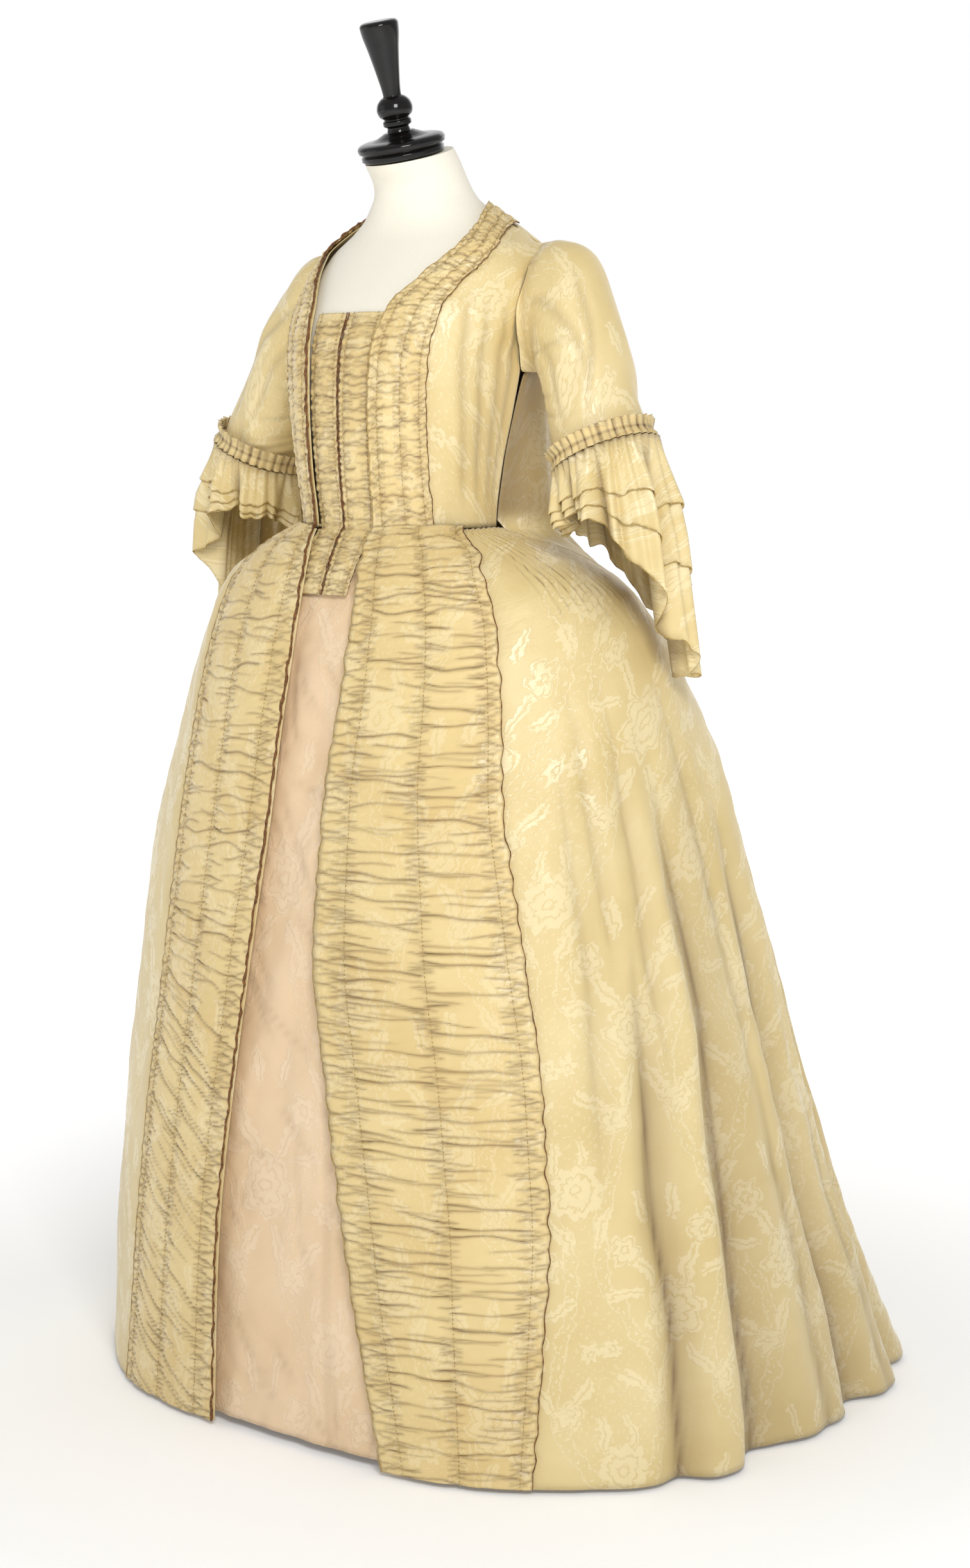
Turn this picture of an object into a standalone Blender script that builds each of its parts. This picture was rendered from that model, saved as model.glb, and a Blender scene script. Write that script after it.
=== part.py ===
"""Robe a la francaise on a limbless dress form.

Metres, +Z up. The wearer faces -Y and the wearer's left is +X. The origin is on the floor, on the
axis of the stand. The gown is built from panels: each is an open grid on the bodice surface or on
the skirt surface, given its wall by a Solidify modifier.
"""

import math
from collections import namedtuple

import bmesh
import bpy
from mathutils import Matrix, Vector

COLLECTION_NAME = "robe_a_la_francaise"

# Walls and clearances
CLOTH = 0.0015            # thickness of one panel of silk
GAP = 0.0003              # clearance kept at every seam
PLEAT_GAP = 0.0010        # clearance where the hip pleats stand up beside the sack back
TRIM_LIFT = CLOTH + GAP   # a robing lies this far above the panel it is sewn to
COMPERE_DROP = 0.0040     # the compere lies this far below the bodice panels
PETTICOAT_DROP = 0.012    # the petticoat hangs this far inside the gown's skirt
PETTICOAT_WAIST_DROP = 0.007   # and this far inside it at the waist
FORM_DROP_CHEST = 0.006   # the form lies this far inside the bodice at the neckline
FORM_DROP_BACK = 0.014    # and this much further inside it under the sack back
FORM_DROP_WAIST = 0.017   # and this far inside it at the waist

# Heights
WAIST = 1.080
SACK_TOP = 1.408
SKIRT_TOP = 1.0775        # the pleated edge of the skirt turns in just below the bodice
HEM = 0.006
PETTICOAT_TOP = 1.072
PETTICOAT_HEM = 0.016
COMPERE_TOP = 1.333
COMPERE_POINT = 1.004
FORM_BOTTOM = 0.80

# Half widths of the compere, at its point and above, and its centre edge
COMPERE_POINT_WIDTH = 0.033
COMPERE_WIDTH = 0.045
COMPERE_CENTRE = 0.0005

# Stand
POLE_RADIUS = 0.016
BASE_RADIUS = 0.165
BASE_HEIGHT = 0.034
NECK_CAP_CENTRE = Vector((0.0, -0.038, 1.519))
NECK_LEAN = math.radians(16.0)   # the neck plate and finial lean forward

# Turned profiles as (radius, height), from the top down. The cap and the finial stand on the neck
# plate and the foot stands on the floor.
NECK_CAP_PROFILE = [
    (0.0, 0.0300), (0.0160, 0.0300), (0.0220, 0.0275), (0.0300, 0.0240), (0.0360, 0.0225),
    (0.0420, 0.0220), (0.0500, 0.0200), (0.0530, 0.0160), (0.0520, 0.0110), (0.0480, 0.0085),
    (0.0500, 0.0060), (0.0500, 0.0020), (0.0470, 0.0003), (0.0, 0.0003),
]
FINIAL_PROFILE = [
    (0.0, 0.1590), (0.0150, 0.1590), (0.0210, 0.1575), (0.0232, 0.1540), (0.0228, 0.1480),
    (0.0185, 0.1250), (0.0135, 0.0950), (0.0110, 0.0760), (0.0108, 0.0720), (0.0150, 0.0690),
    (0.0200, 0.0630), (0.0216, 0.0560), (0.0195, 0.0490), (0.0150, 0.0445), (0.0170, 0.0420),
    (0.0170, 0.0380), (0.0130, 0.0350), (0.0140, 0.0303), (0.0, 0.0303),
]
BASE_PROFILE = [
    (0.0, BASE_HEIGHT), (0.030, BASE_HEIGHT), (0.040, 0.028), (0.090, 0.022),
    (BASE_RADIUS - 0.010, 0.016), (BASE_RADIUS, 0.010), (BASE_RADIUS, 0.002),
    (BASE_RADIUS - 0.002, 0.0), (0.0, 0.0),
]

# Sections: half width, depth to the front and to the back of the stand's axis, the place of the
# widest line, and how square the section is (2 is an ellipse).
Section = namedtuple("Section", "z halfWidth front back widestY square")

BODICE = [
    Section(0.980, 0.132, 0.145, 0.080, -0.030, 2.10),
    Section(1.080, 0.123, 0.147, 0.074, -0.030, 2.10),
    Section(1.150, 0.131, 0.154, 0.082, -0.030, 2.15),
    Section(1.220, 0.143, 0.157, 0.092, -0.025, 2.20),
    Section(1.280, 0.153, 0.154, 0.105, -0.015, 2.25),
    Section(1.330, 0.160, 0.138, 0.113, 0.000, 2.30),
    Section(1.370, 0.160, 0.112, 0.118, 0.020, 2.30),
    Section(1.405, 0.148, 0.086, 0.112, 0.030, 2.30),
    Section(1.430, 0.118, 0.068, 0.098, 0.025, 2.20),
    Section(1.452, 0.088, 0.060, 0.078, 0.015, 2.10),
    Section(1.475, 0.064, 0.060, 0.054, 0.000, 2.00),
    Section(1.520, 0.053, 0.084, 0.024, -0.030, 2.00),
]

SKIRT = [
    Section(0.000, 0.470, 0.298, 0.620, 0.080, 2.60),
    Section(0.150, 0.462, 0.296, 0.510, 0.075, 2.50),
    Section(0.340, 0.440, 0.287, 0.400, 0.060, 2.50),
    Section(0.540, 0.415, 0.270, 0.337, 0.045, 2.40),
    Section(0.730, 0.379, 0.246, 0.297, 0.030, 2.40),
    Section(0.860, 0.346, 0.226, 0.258, 0.020, 2.30),
    Section(0.930, 0.320, 0.209, 0.230, 0.010, 2.30),
    Section(0.980, 0.298, 0.195, 0.196, 0.000, 2.20),
    Section(1.020, 0.262, 0.181, 0.162, -0.010, 2.20),
    Section(1.058, 0.188, 0.164, 0.118, -0.020, 2.20),
    Section(1.080, 0.127, 0.150, 0.076, -0.030, 2.10),
]

# Front edges of the skirt, as distances along X: the opening swings towards the wearer's left.
FrontEdge = namedtuple("FrontEdge", "z rightOuter rightInner leftInner leftOuter")

FRONT_EDGES = [
    FrontEdge(0.000, -0.275, -0.080, 0.189, 0.353),
    FrontEdge(0.250, -0.245, -0.072, 0.135, 0.357),
    FrontEdge(0.430, -0.225, -0.055, 0.098, 0.342),
    FrontEdge(0.620, -0.208, -0.036, 0.062, 0.308),
    FrontEdge(0.780, -0.200, -0.024, 0.060, 0.273),
    FrontEdge(0.880, -0.197, -0.022, 0.066, 0.256),
    FrontEdge(0.980, -0.192, -0.026, 0.062, 0.228),
    FrontEdge(1.045, -0.165, -0.034, 0.052, 0.182),
    FrontEdge(1.080, -0.121, -0.044, 0.047, 0.121),
]

# Lines across one bodice front, from the waist over the shoulder: the neck edge, the robing's
# outer edge and the side seam or armhole. Angles in degrees from the front.
BodiceLine = namedtuple("BodiceLine", "neckAngle neckZ trimAngle trimZ edgeAngle edgeZ")

BODICE_LINES = [
    BodiceLine(20.5, 1.0803, 55.0, 1.0803, 100.0, 1.0803),
    BodiceLine(19.5, 1.1500, 51.0, 1.1500, 99.5, 1.1500),
    BodiceLine(17.5, 1.2200, 47.0, 1.2200, 98.5, 1.2150),
    BodiceLine(16.5, 1.2800, 44.5, 1.2760, 96.0, 1.2700),
    BodiceLine(18.5, 1.3320, 44.0, 1.3240, 87.0, 1.3080),
    BodiceLine(26.0, 1.3640, 47.0, 1.3540, 82.0, 1.3450),
    BodiceLine(38.0, 1.3980, 56.0, 1.3860, 81.0, 1.3760),
    BodiceLine(60.0, 1.4320, 72.0, 1.4180, 86.0, 1.3960),
    BodiceLine(92.0, 1.4570, 95.0, 1.4350, 98.0, 1.4060),
    BodiceLine(113.0, 1.4630, 111.5, 1.4380, 106.5, 1.4080),
]

# Lines across one half of the sack back, from the shoulder to the hem: the seam's angle and
# height, the height at the centre, how soon the line climbs to it, the half width and depth of
# the loose back, how far it hangs free of the fitted surface, and the depth of its pleats.
SackLine = namedtuple("SackLine", "seamAngle seamZ centreZ climb half depth loose pleat")

SACK_LINES = [
    SackLine(110.5, 1.4080, 1.4600, 0.12, 0.150, 0.086, 0.0, 0.002),
    SackLine(113.0, 1.3760, 1.4300, 0.40, 0.150, 0.122, 0.2, 0.003),
    SackLine(116.0, 1.3380, 1.3850, 0.70, 0.150, 0.131, 1.0, 0.005),
    SackLine(111.0, 1.2940, 1.3200, 1.00, 0.147, 0.133, 1.0, 0.007),
    SackLine(101.0, 1.2560, 1.2600, 1.00, 0.146, 0.133, 1.0, 0.008),
    SackLine(100.8, 1.1700, 1.1700, 1.00, 0.150, 0.134, 1.0, 0.010),
    SackLine(101.5, 1.0803, 1.0803, 1.00, 0.160, 0.140, 1.0, 0.011),
    SackLine(118.0, 1.0450, 1.0450, 1.00, 0.178, 0.152, 0.9, 0.012),
    SackLine(132.0, 0.9900, 0.9900, 1.00, 0.205, 0.186, 0.6, 0.014),
    SackLine(140.0, 0.9200, 0.9200, 1.00, 0.225, 0.232, 0.3, 0.015),
    SackLine(143.0, 0.7800, 0.7800, 1.00, 0.250, 0.280, 0.0, 0.016),
    SackLine(145.0, 0.5400, 0.5400, 1.00, 0.270, 0.337, 0.0, 0.019),
    SackLine(146.0, 0.2800, 0.2800, 1.00, 0.290, 0.430, 0.0, 0.022),
    SackLine(146.0, 0.0060, 0.0060, 1.00, 0.300, 0.620, 0.0, 0.026),
]
SACK_SQUARE = 0.83         # below 1 the loose back has squarer corners than an ellipse
SACK_PLEATS = 3           # standing pleats on each side of the centre back
SACK_CLOSER = 1.3         # above 1, the rows over the waist are closer together near the top
SKIRT_CLOSER = 1.45       # and the rows under it closer together near the waist
WAIST_STEP = 0.012        # the sack's last row above the waist lies this far over it

# Folds of the skirt that run down to the hem: angle in degrees from the front, width in degrees,
# height where the fold begins and its depth at the hem. Each stands on both sides of the skirt.
Fold = namedtuple("Fold", "angle width startZ depth")

FOLDS = [
    Fold(64.0, 7.0, 0.70, 0.012),
    Fold(79.0, 6.0, 0.88, 0.022),
    Fold(96.0, 8.0, 0.80, 0.020),
    Fold(112.0, 6.0, 0.90, 0.026),
    Fold(128.0, 7.0, 0.85, 0.022),
]

# One sleeve: the armhole as angle and height on the bodice, then rings down the arm.
ARMHOLE = [
    (98.0, 1.2640), (90.0, 1.2950), (84.0, 1.3280), (82.0, 1.3600), (83.5, 1.3860),
    (91.0, 1.4030), (103.0, 1.4120), (112.0, 1.3960), (115.5, 1.3600), (114.0, 1.3180),
    (106.0, 1.2780),
]
ARMHOLE_LIFT = 0.0045

# Each ring lies between its point under the arm and its point on the outer side.
SleeveRing = namedtuple("SleeveRing", "underX underZ overX overZ y depth")

SLEEVE = [
    SleeveRing(0.1640, 1.262, 0.188, 1.416, 0.034, 0.056),
    SleeveRing(0.1690, 1.268, 0.226, 1.399, 0.030, 0.056),
    SleeveRing(0.1790, 1.252, 0.266, 1.338, 0.020, 0.056),
    SleeveRing(0.1960, 1.222, 0.291, 1.276, 0.012, 0.056),
    SleeveRing(0.2120, 1.182, 0.312, 1.228, 0.005, 0.055),
    SleeveRing(0.2320, 1.143, 0.330, 1.187, -0.001, 0.054),
]

# Flounces at the elbow, the shortest outside: radius at the top, drop below the elbow line,
# least and greatest length.
Flounce = namedtuple("Flounce", "name radius drop shortest longest")

FLOUNCES = [
    Flounce("upper", 0.0625, 0.000, 0.046, 0.085),
    Flounce("middle", 0.0590, 0.003, 0.062, 0.155),
    Flounce("lower", 0.0555, 0.006, 0.078, 0.268),
]
FLOUNCE_AXIS = Vector((0.26, 0.06, -0.96)).normalized()
FLOUNCE_LONG_SIDE = math.radians(200.0)   # where the flounces are longest, round the arm
FLOUNCE_TAPER = 2.2       # above 1, the long side is narrower than the short one
FLOUNCE_FLARE = 0.11      # growth of the radius for each metre fallen
FLOUNCE_WAVE = 0.05       # depth of the waves for each metre fallen
FLOUNCE_OPEN = 0.12       # the flounce opens out over this fall and then hangs straight
FLOUNCE_WAVES = 7
FLOUNCE_SCALLOP = 0.006
HEADING_RADIUS = 0.0590
HEADING_HEIGHT = 0.024
HEADING_WALL = 0.003

# Grid counts
TRIM_COLUMNS = 3
BODICE_COLUMNS = 7
BODICE_ROWS = 12
SKIRT_COLUMNS = 18
SKIRT_ROWS = 11
SACK_COLUMNS = 12
SACK_ROWS = 8
PETTICOAT_COLUMNS = 28
PETTICOAT_ROWS = 5
SLEEVE_COLUMNS = 18
FLOUNCE_COLUMNS = 24
FLOUNCE_ROWS = 3
FORM_COLUMNS = 32
FORM_ROWS = 18
TURNED_STEPS = 28
POLE_STEPS = 20
BASE_STEPS = 40
COMPERE_COLUMNS = 3
COMPERE_ROWS = 8

# Colours
SILK = (0.72, 0.56, 0.25)
TRIM_SILK = (0.70, 0.54, 0.24)
PETTICOAT_SILK = (0.80, 0.68, 0.56)
LINEN = (0.88, 0.86, 0.79)
EBONISED = (0.012, 0.012, 0.013)
STEEL = (0.55, 0.55, 0.56)


# ---------------------------------------------------------------- curves and surfaces

def column(rows, key, name, x):
    """The value of one named column at x, along a smooth curve that never overshoots a row."""
    points = sorted((getattr(row, key), getattr(row, name)) for row in rows)
    xs = [p[0] for p in points]
    ys = [p[1] for p in points]
    x = min(max(x, xs[0]), xs[-1])
    steps = [b - a for a, b in zip(xs, xs[1:])]
    slopes = [(d - c) / h for c, d, h in zip(ys, ys[1:], steps)]
    tangents = [slopes[0]]
    for i in range(1, len(slopes)):
        before, after = slopes[i - 1], slopes[i]
        if before * after <= 0:
            tangents.append(0.0)
        else:
            wide = 2 * steps[i] + steps[i - 1]
            narrow = steps[i] + 2 * steps[i - 1]
            tangents.append((wide + narrow) / (wide / before + narrow / after))
    tangents.append(slopes[-1])
    i = 0
    while i < len(steps) - 1 and x > xs[i + 1]:
        i += 1
    h = steps[i]
    t = (x - xs[i]) / h
    start = ys[i] * (1 + 2 * t) * (1 - t) ** 2 + h * tangents[i] * t * (1 - t) ** 2
    end = ys[i + 1] * t * t * (3 - 2 * t) + h * tangents[i + 1] * t * t * (t - 1)
    return start + end


def between(rows, t, name):
    """A named column read at t from 0, the first row, to 1, the last."""
    numbered = [NumberedRow(i / (len(rows) - 1), getattr(row, name)) for i, row in enumerate(rows)]
    return column(numbered, "t", "value", t)


NumberedRow = namedtuple("NumberedRow", "t value")


def smooth(t):
    t = min(max(t, 0.0), 1.0)
    return t * t * (3 - 2 * t)


def power(value, exponent):
    return math.copysign(abs(value) ** exponent, value)


def onSection(rows, angle, z):
    """The point of a body's section at a height. The angle is 0 in front and grows to the left."""
    half, front, back, widest, square = (
        column(rows, "z", name, z) for name in ("halfWidth", "front", "back", "widestY", "square")
    )
    x = half * power(math.sin(angle), 2 / square)
    depth = (widest + front) if math.cos(angle) > 0 else (back - widest)
    y = widest - depth * power(math.cos(angle), 2 / square)
    return Vector((x, y, z))


def folds(angle, z):
    """How far the skirt's folds stand out at a place."""
    total = 0.0
    for fold in FOLDS:
        reach = smooth((fold.startZ - z) / fold.startZ)
        off = (abs(math.degrees(angle)) - fold.angle) / fold.width
        total += fold.depth * reach * math.exp(-off * off)
    return total


def bodicePoint(angle, z):
    return onSection(BODICE, angle, z)


def plainSkirtPoint(angle, z):
    return onSection(SKIRT, angle, z)


def skirtPoint(angle, z):
    point = plainSkirtPoint(angle, z)
    outward = Vector((math.sin(angle), -math.cos(angle), 0.0))
    return point + outward * folds(angle, z)


def lifted(surface, angle, z, lift):
    """A point moved off a surface along its normal."""
    small = 0.01
    across = surface(angle + small, z) - surface(angle - small, z)
    up = surface(angle, z + small / 4) - surface(angle, z - small / 4)
    normal = across.cross(up).normalized()
    return surface(angle, z) + normal * lift


def skirtAngle(x, z):
    """The angle at which the front of the skirt lies at a distance along X."""
    half = column(SKIRT, "z", "halfWidth", z)
    square = column(SKIRT, "z", "square", z)
    share = min(abs(x) / half, 1.0)
    return math.copysign(math.asin(share ** (square / 2)), x)


def seamAngle(z, side=1):
    """The angle of the seam beside the sack back: its own edge, or with side -1 the skirt's."""
    angle = math.radians(column(SACK_LINES, "seamZ", "seamAngle", z))
    surface = bodicePoint if z > WAIST else skirtPoint
    gap = GAP + (PLEAT_GAP - GAP) * smooth((z - 0.90) / 0.10)
    return angle + side * gap / surface(angle, z).xy.length


def skirtHeights():
    """Heights of the skirt's rows, closer together near the waist."""
    return [SKIRT_TOP - (SKIRT_TOP - HEM) * (i / SKIRT_ROWS) ** SKIRT_CLOSER for i in range(SKIRT_ROWS + 1)]


# ---------------------------------------------------------------- meshes

def material(name, colour, roughness, metallic=0.0):
    made = bpy.data.materials.new(name)
    made.use_nodes = True
    shader = made.node_tree.nodes["Principled BSDF"]
    shader.inputs["Base Color"].default_value = (*colour, 1.0)
    shader.inputs["Roughness"].default_value = roughness
    shader.inputs["Metallic"].default_value = metallic
    made.diffuse_color = (*colour, 1.0)
    return made


def addObject(name, mesh, finish):
    made = bpy.data.objects.new(name, mesh)
    bpy.data.collections[COLLECTION_NAME].objects.link(made)
    mesh.materials.append(material(name + "_finish", *finish))
    mesh.shade_smooth()
    mesh.set_sharp_from_angle(angle=math.radians(40.0))
    return made


def gridMesh(name, rows, ring=False):
    """A sheet through rows of points. Rows run downwards, and points run to the wearer's left."""
    mesh = bpy.data.meshes.new(name)
    shape = bmesh.new()
    grid = [[shape.verts.new(point) for point in row] for row in rows]
    width = len(rows[0])
    last = width if ring else width - 1
    for upper, lower in zip(grid, grid[1:]):
        for i in range(last):
            k = (i + 1) % width
            shape.faces.new((lower[i], lower[k], upper[k], upper[i]))
    shape.to_mesh(mesh)
    shape.free()
    return mesh


def cloth(name, rows, finish, ring=False, wall=CLOTH, outward=True):
    """A panel of cloth: a sheet with its wall on the outer side, or on the inner one."""
    made = addObject(name, gridMesh(name, rows, ring), finish)
    thicken = made.modifiers.new("Wall", "SOLIDIFY")
    thicken.thickness = wall
    thicken.offset = 1.0 if outward else -1.0
    return made


def turned(name, profile, finish, steps=TURNED_STEPS, place=Matrix.Identity(4)):
    """A turned solid. The profile runs down the outer side, from the top to the bottom."""
    mesh = bpy.data.meshes.new(name)
    shape = bmesh.new()
    verts = [shape.verts.new((radius, 0.0, z)) for radius, z in profile]
    for a, b in zip(verts, verts[1:]):
        shape.edges.new((a, b))
    shape.to_mesh(mesh)
    shape.free()
    made = addObject(name, mesh, finish)
    made.matrix_world = place
    screw = made.modifiers.new("Turn", "SCREW")
    screw.steps = steps
    screw.render_steps = steps
    screw.use_merge_vertices = True
    screw.merge_threshold = 0.00001
    return made


def closedRings(name, rings, finish):
    """A solid through closed rings, from the top to the bottom, with flat ends."""
    made = gridMesh(name, rings, ring=True)
    shape = bmesh.new()
    shape.from_mesh(made)
    bmesh.ops.holes_fill(shape, edges=[e for e in shape.edges if e.is_boundary])
    bmesh.ops.recalc_face_normals(shape, faces=shape.faces)
    shape.to_mesh(made)
    shape.free()
    return addObject(name, made, finish)


def spread(start, end, count):
    return [start + (end - start) * i / (count - 1) for i in range(count)]


def aroundAngles(count):
    """Angles all round a body, from the front round the wearer's left to the front again."""
    turns = [2 * math.pi * i / count for i in range(count)]
    return [turn if turn <= math.pi else turn - 2 * math.pi for turn in turns]


# ---------------------------------------------------------------- bodice

def bodiceLine(t, side):
    """Angles and heights across one bodice front at t, from the waist over the shoulder."""
    neck, neckZ, trim, trimZ, edge, edgeZ = (between(BODICE_LINES, t, f) for f in BodiceLine._fields)
    trimCols = TRIM_COLUMNS + 1
    angles = spread(neck, trim, trimCols) + spread(trim, edge, BODICE_COLUMNS - TRIM_COLUMNS + 1)[1:]
    heights = spread(neckZ, trimZ, trimCols) + spread(trimZ, edgeZ, BODICE_COLUMNS - TRIM_COLUMNS + 1)[1:]
    line = [(side * math.radians(a), z) for a, z in zip(angles, heights)]
    return line


def bodiceRows(side, lift, columns):
    rows = []
    for t in spread(1.0, 0.0, BODICE_ROWS):
        line = bodiceLine(t, side)[:columns]
        if side < 0:
            line.reverse()
        rows.append([lifted(bodicePoint, angle, z, lift) for angle, z in line])
    return rows


def makeBodice(side, word):
    cloth(f"bodice_front_{word}", bodiceRows(side, 0.0, BODICE_COLUMNS + 1), (SILK, 0.45))
    cloth(f"bodice_robing_{word}", bodiceRows(side, TRIM_LIFT, TRIM_COLUMNS + 1), (TRIM_SILK, 0.5))


def comperePoint(angle, z):
    """The compere follows the bodice to the waist, and the skirt below it."""
    if z >= WAIST:
        return bodicePoint(angle, z)
    return plainSkirtPoint(angle, z)


def makeCompere(side, word):
    rows = []
    for z in spread(COMPERE_TOP, COMPERE_POINT, COMPERE_ROWS + 1):
        t = (z - COMPERE_POINT) / (COMPERE_TOP - COMPERE_POINT)
        outer = COMPERE_POINT_WIDTH + (COMPERE_WIDTH - COMPERE_POINT_WIDTH) * smooth(t * 3)
        width = column(BODICE if z >= WAIST else SKIRT, "z", "halfWidth", z)
        xs = sorted(side * x for x in spread(outer, COMPERE_CENTRE, COMPERE_COLUMNS + 1))
        angles = [math.asin(x / width) for x in xs]
        rows.append([lifted(comperePoint, angle, z, -COMPERE_DROP) for angle in angles])
    cloth(f"compere_{word}", rows, (TRIM_SILK, 0.5))


# ---------------------------------------------------------------- skirt

def skirtLine(z, side):
    """Angles across one side of the skirt at a height, from the opening to the back seam."""
    name = "left" if side > 0 else "right"
    inner = abs(skirtAngle(column(FRONT_EDGES, "z", name + "Inner", z), z))
    outer = abs(skirtAngle(column(FRONT_EDGES, "z", name + "Outer", z), z))
    seam = seamAngle(z, -1)
    angles = spread(inner, outer, TRIM_COLUMNS + 1)
    angles += spread(outer, seam, SKIRT_COLUMNS - TRIM_COLUMNS + 1)[1:]
    return [side * angle for angle in angles]


def skirtRows(side, lift, columns):
    rows = []
    for z in skirtHeights():
        line = skirtLine(z, side)[:columns]
        if side < 0:
            line.reverse()
        rows.append([lifted(skirtPoint, angle, z, lift) for angle in line])
    return rows


def makeSkirtSide(side, word):
    cloth(f"skirt_{word}", skirtRows(side, 0.0, SKIRT_COLUMNS + 1), (SILK, 0.45))
    cloth(f"skirt_robing_{word}", skirtRows(side, TRIM_LIFT, TRIM_COLUMNS + 1), (TRIM_SILK, 0.5))


def sackPoint(seamZ, u):
    """The sack back on the line whose seam is at a height, u from its seam to the centre back."""
    edge = seamAngle(seamZ)
    centreZ, climb, half, depth, loose, pleat = (
        column(SACK_LINES, "seamZ", name, seamZ) for name in SackLine._fields[2:]
    )
    z = seamZ + (centreZ - seamZ) * smooth(u / climb)
    surface = bodicePoint if seamZ > WAIST else skirtPoint
    angle = edge + (math.pi - edge) * u
    fitted = surface(angle, z)
    seam = surface(edge, seamZ)
    turn = u * math.pi / 2
    width = seam.x + (half - seam.x) * smooth(u * 5)
    x = width * math.cos(turn) ** SACK_SQUARE
    y = seam.y + (depth - seam.y) * math.sin(turn) ** SACK_SQUARE
    point = fitted.lerp(Vector((x, y, z)), loose)
    stand = pleat * math.sin(SACK_PLEATS * math.pi * u) ** 2 * smooth(u * 4)
    return point + Vector((math.sin(angle) * 0.35, -math.cos(angle), 0.0)) * stand


def makeSack():
    drop = SACK_TOP - WAIST - WAIST_STEP
    above = [SACK_TOP - drop * (i / SACK_ROWS) ** SACK_CLOSER for i in range(SACK_ROWS + 1)]
    rows = []
    for seamZ in above + skirtHeights():
        half = [sackPoint(seamZ, u) for u in spread(0.0, 1.0, SACK_COLUMNS)]
        other = [Vector((-p.x, p.y, p.z)) for p in reversed(half[:-1])]
        rows.append(half + other)
    cloth("sack_back", rows, (SILK, 0.45))


def makePetticoat():
    rows = []
    for step in spread(0.0, 1.0, PETTICOAT_ROWS + 1):
        z = PETTICOAT_TOP - (PETTICOAT_TOP - PETTICOAT_HEM) * step ** 1.6
        drop = PETTICOAT_WAIST_DROP + (PETTICOAT_DROP - PETTICOAT_WAIST_DROP) * smooth(step * 3)
        rows.append([lifted(plainSkirtPoint, a, z, -drop) for a in aroundAngles(PETTICOAT_COLUMNS)])
    cloth("petticoat", rows, (PETTICOAT_SILK, 0.5), ring=True, outward=False)


# ---------------------------------------------------------------- sleeves

def armholePoint(share):
    """A point on the armhole, from under the arm forwards, up and back down."""
    place = share * len(ARMHOLE)
    i = int(place) % len(ARMHOLE)
    t = place - int(place)
    before, start, end, after = (ARMHOLE[(i + k) % len(ARMHOLE)] for k in (-1, 0, 1, 2))
    angle, z = (
        0.5 * (2 * b + (c - a) * t + (2 * a - 5 * b + 4 * c - d) * t * t + (3 * b - a - 3 * c + d) * t ** 3)
        for a, b, c, d in zip(before, start, end, after)
    )
    return lifted(bodicePoint, math.radians(angle), z, ARMHOLE_LIFT)


def ringAcross(centre, under, depth, share):
    """A point of a ring round an arm, starting under it and running to the front."""
    turn = 2 * math.pi * share
    return centre + under * math.cos(turn) + Vector((0.0, -depth, 0.0)) * math.sin(turn)


def sleeveRings():
    shares = [i / SLEEVE_COLUMNS for i in range(SLEEVE_COLUMNS)]
    rings = [[armholePoint(share) for share in shares]]
    for ring in SLEEVE:
        under = Vector((ring.underX, ring.y, ring.underZ))
        over = Vector((ring.overX, ring.y, ring.overZ))
        rings.append([ringAcross((under + over) / 2, (under - over) / 2, ring.depth, share)
                      for share in shares])
    return rings


def elbow():
    """The centre of the sleeve's end, the direction out of it and the direction under the arm."""
    ring = SLEEVE[-1]
    across = Vector((ring.underX - ring.overX, 0.0, ring.underZ - ring.overZ)).normalized()
    centre = Vector(((ring.underX + ring.overX) / 2, ring.y, (ring.underZ + ring.overZ) / 2))
    return centre, across.cross(Vector((0.0, 1.0, 0.0))), across


def flouncePoint(flounce, share, down):
    """A point of a flounce, at a share of the way round the arm and of its length down."""
    turn = 2 * math.pi * share
    longer = (1 + math.cos(turn - FLOUNCE_LONG_SIDE)) / 2
    scallop = FLOUNCE_SCALLOP * abs(math.sin(turn * FLOUNCE_WAVES / 2))
    length = flounce.shortest + (flounce.longest - flounce.shortest) * longer ** FLOUNCE_TAPER + scallop
    fallen = down * length
    flared = min(fallen, FLOUNCE_OPEN)
    radius = flounce.radius + FLOUNCE_FLARE * flared + FLOUNCE_WAVE * flared * math.cos(turn * FLOUNCE_WAVES)
    start, _, under = elbow()
    centre = start + FLOUNCE_AXIS * (flounce.drop + fallen)
    return ringAcross(centre, under * radius, radius, share)


def mirrored(rows, side):
    if side > 0:
        return rows
    return [[Vector((-p.x, p.y, p.z)) for p in reversed(row)] for row in rows]


def makeSleeve(side, word):
    rings = sleeveRings()
    cloth(f"sleeve_{word}", mirrored(rings, side), (SILK, 0.45), ring=True, outward=False)
    centre, axis, under = elbow()
    shares = [i / FLOUNCE_COLUMNS for i in range(FLOUNCE_COLUMNS)]
    heading = [
        [ringAcross(centre + axis * step, under * HEADING_RADIUS, HEADING_RADIUS, share) for share in shares]
        for step in (-HEADING_HEIGHT, -0.002)
    ]
    cloth(f"cuff_heading_{word}", mirrored(heading, side), (TRIM_SILK, 0.5), ring=True, wall=HEADING_WALL)
    for flounce in FLOUNCES:
        rows = [[flouncePoint(flounce, share, down) for share in shares]
                for down in spread(0.0, 1.0, FLOUNCE_ROWS + 1)]
        cloth(f"flounce_{flounce.name}_{word}", mirrored(rows, side), (SILK, 0.45), ring=True)


# ---------------------------------------------------------------- dress form and stand

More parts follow.
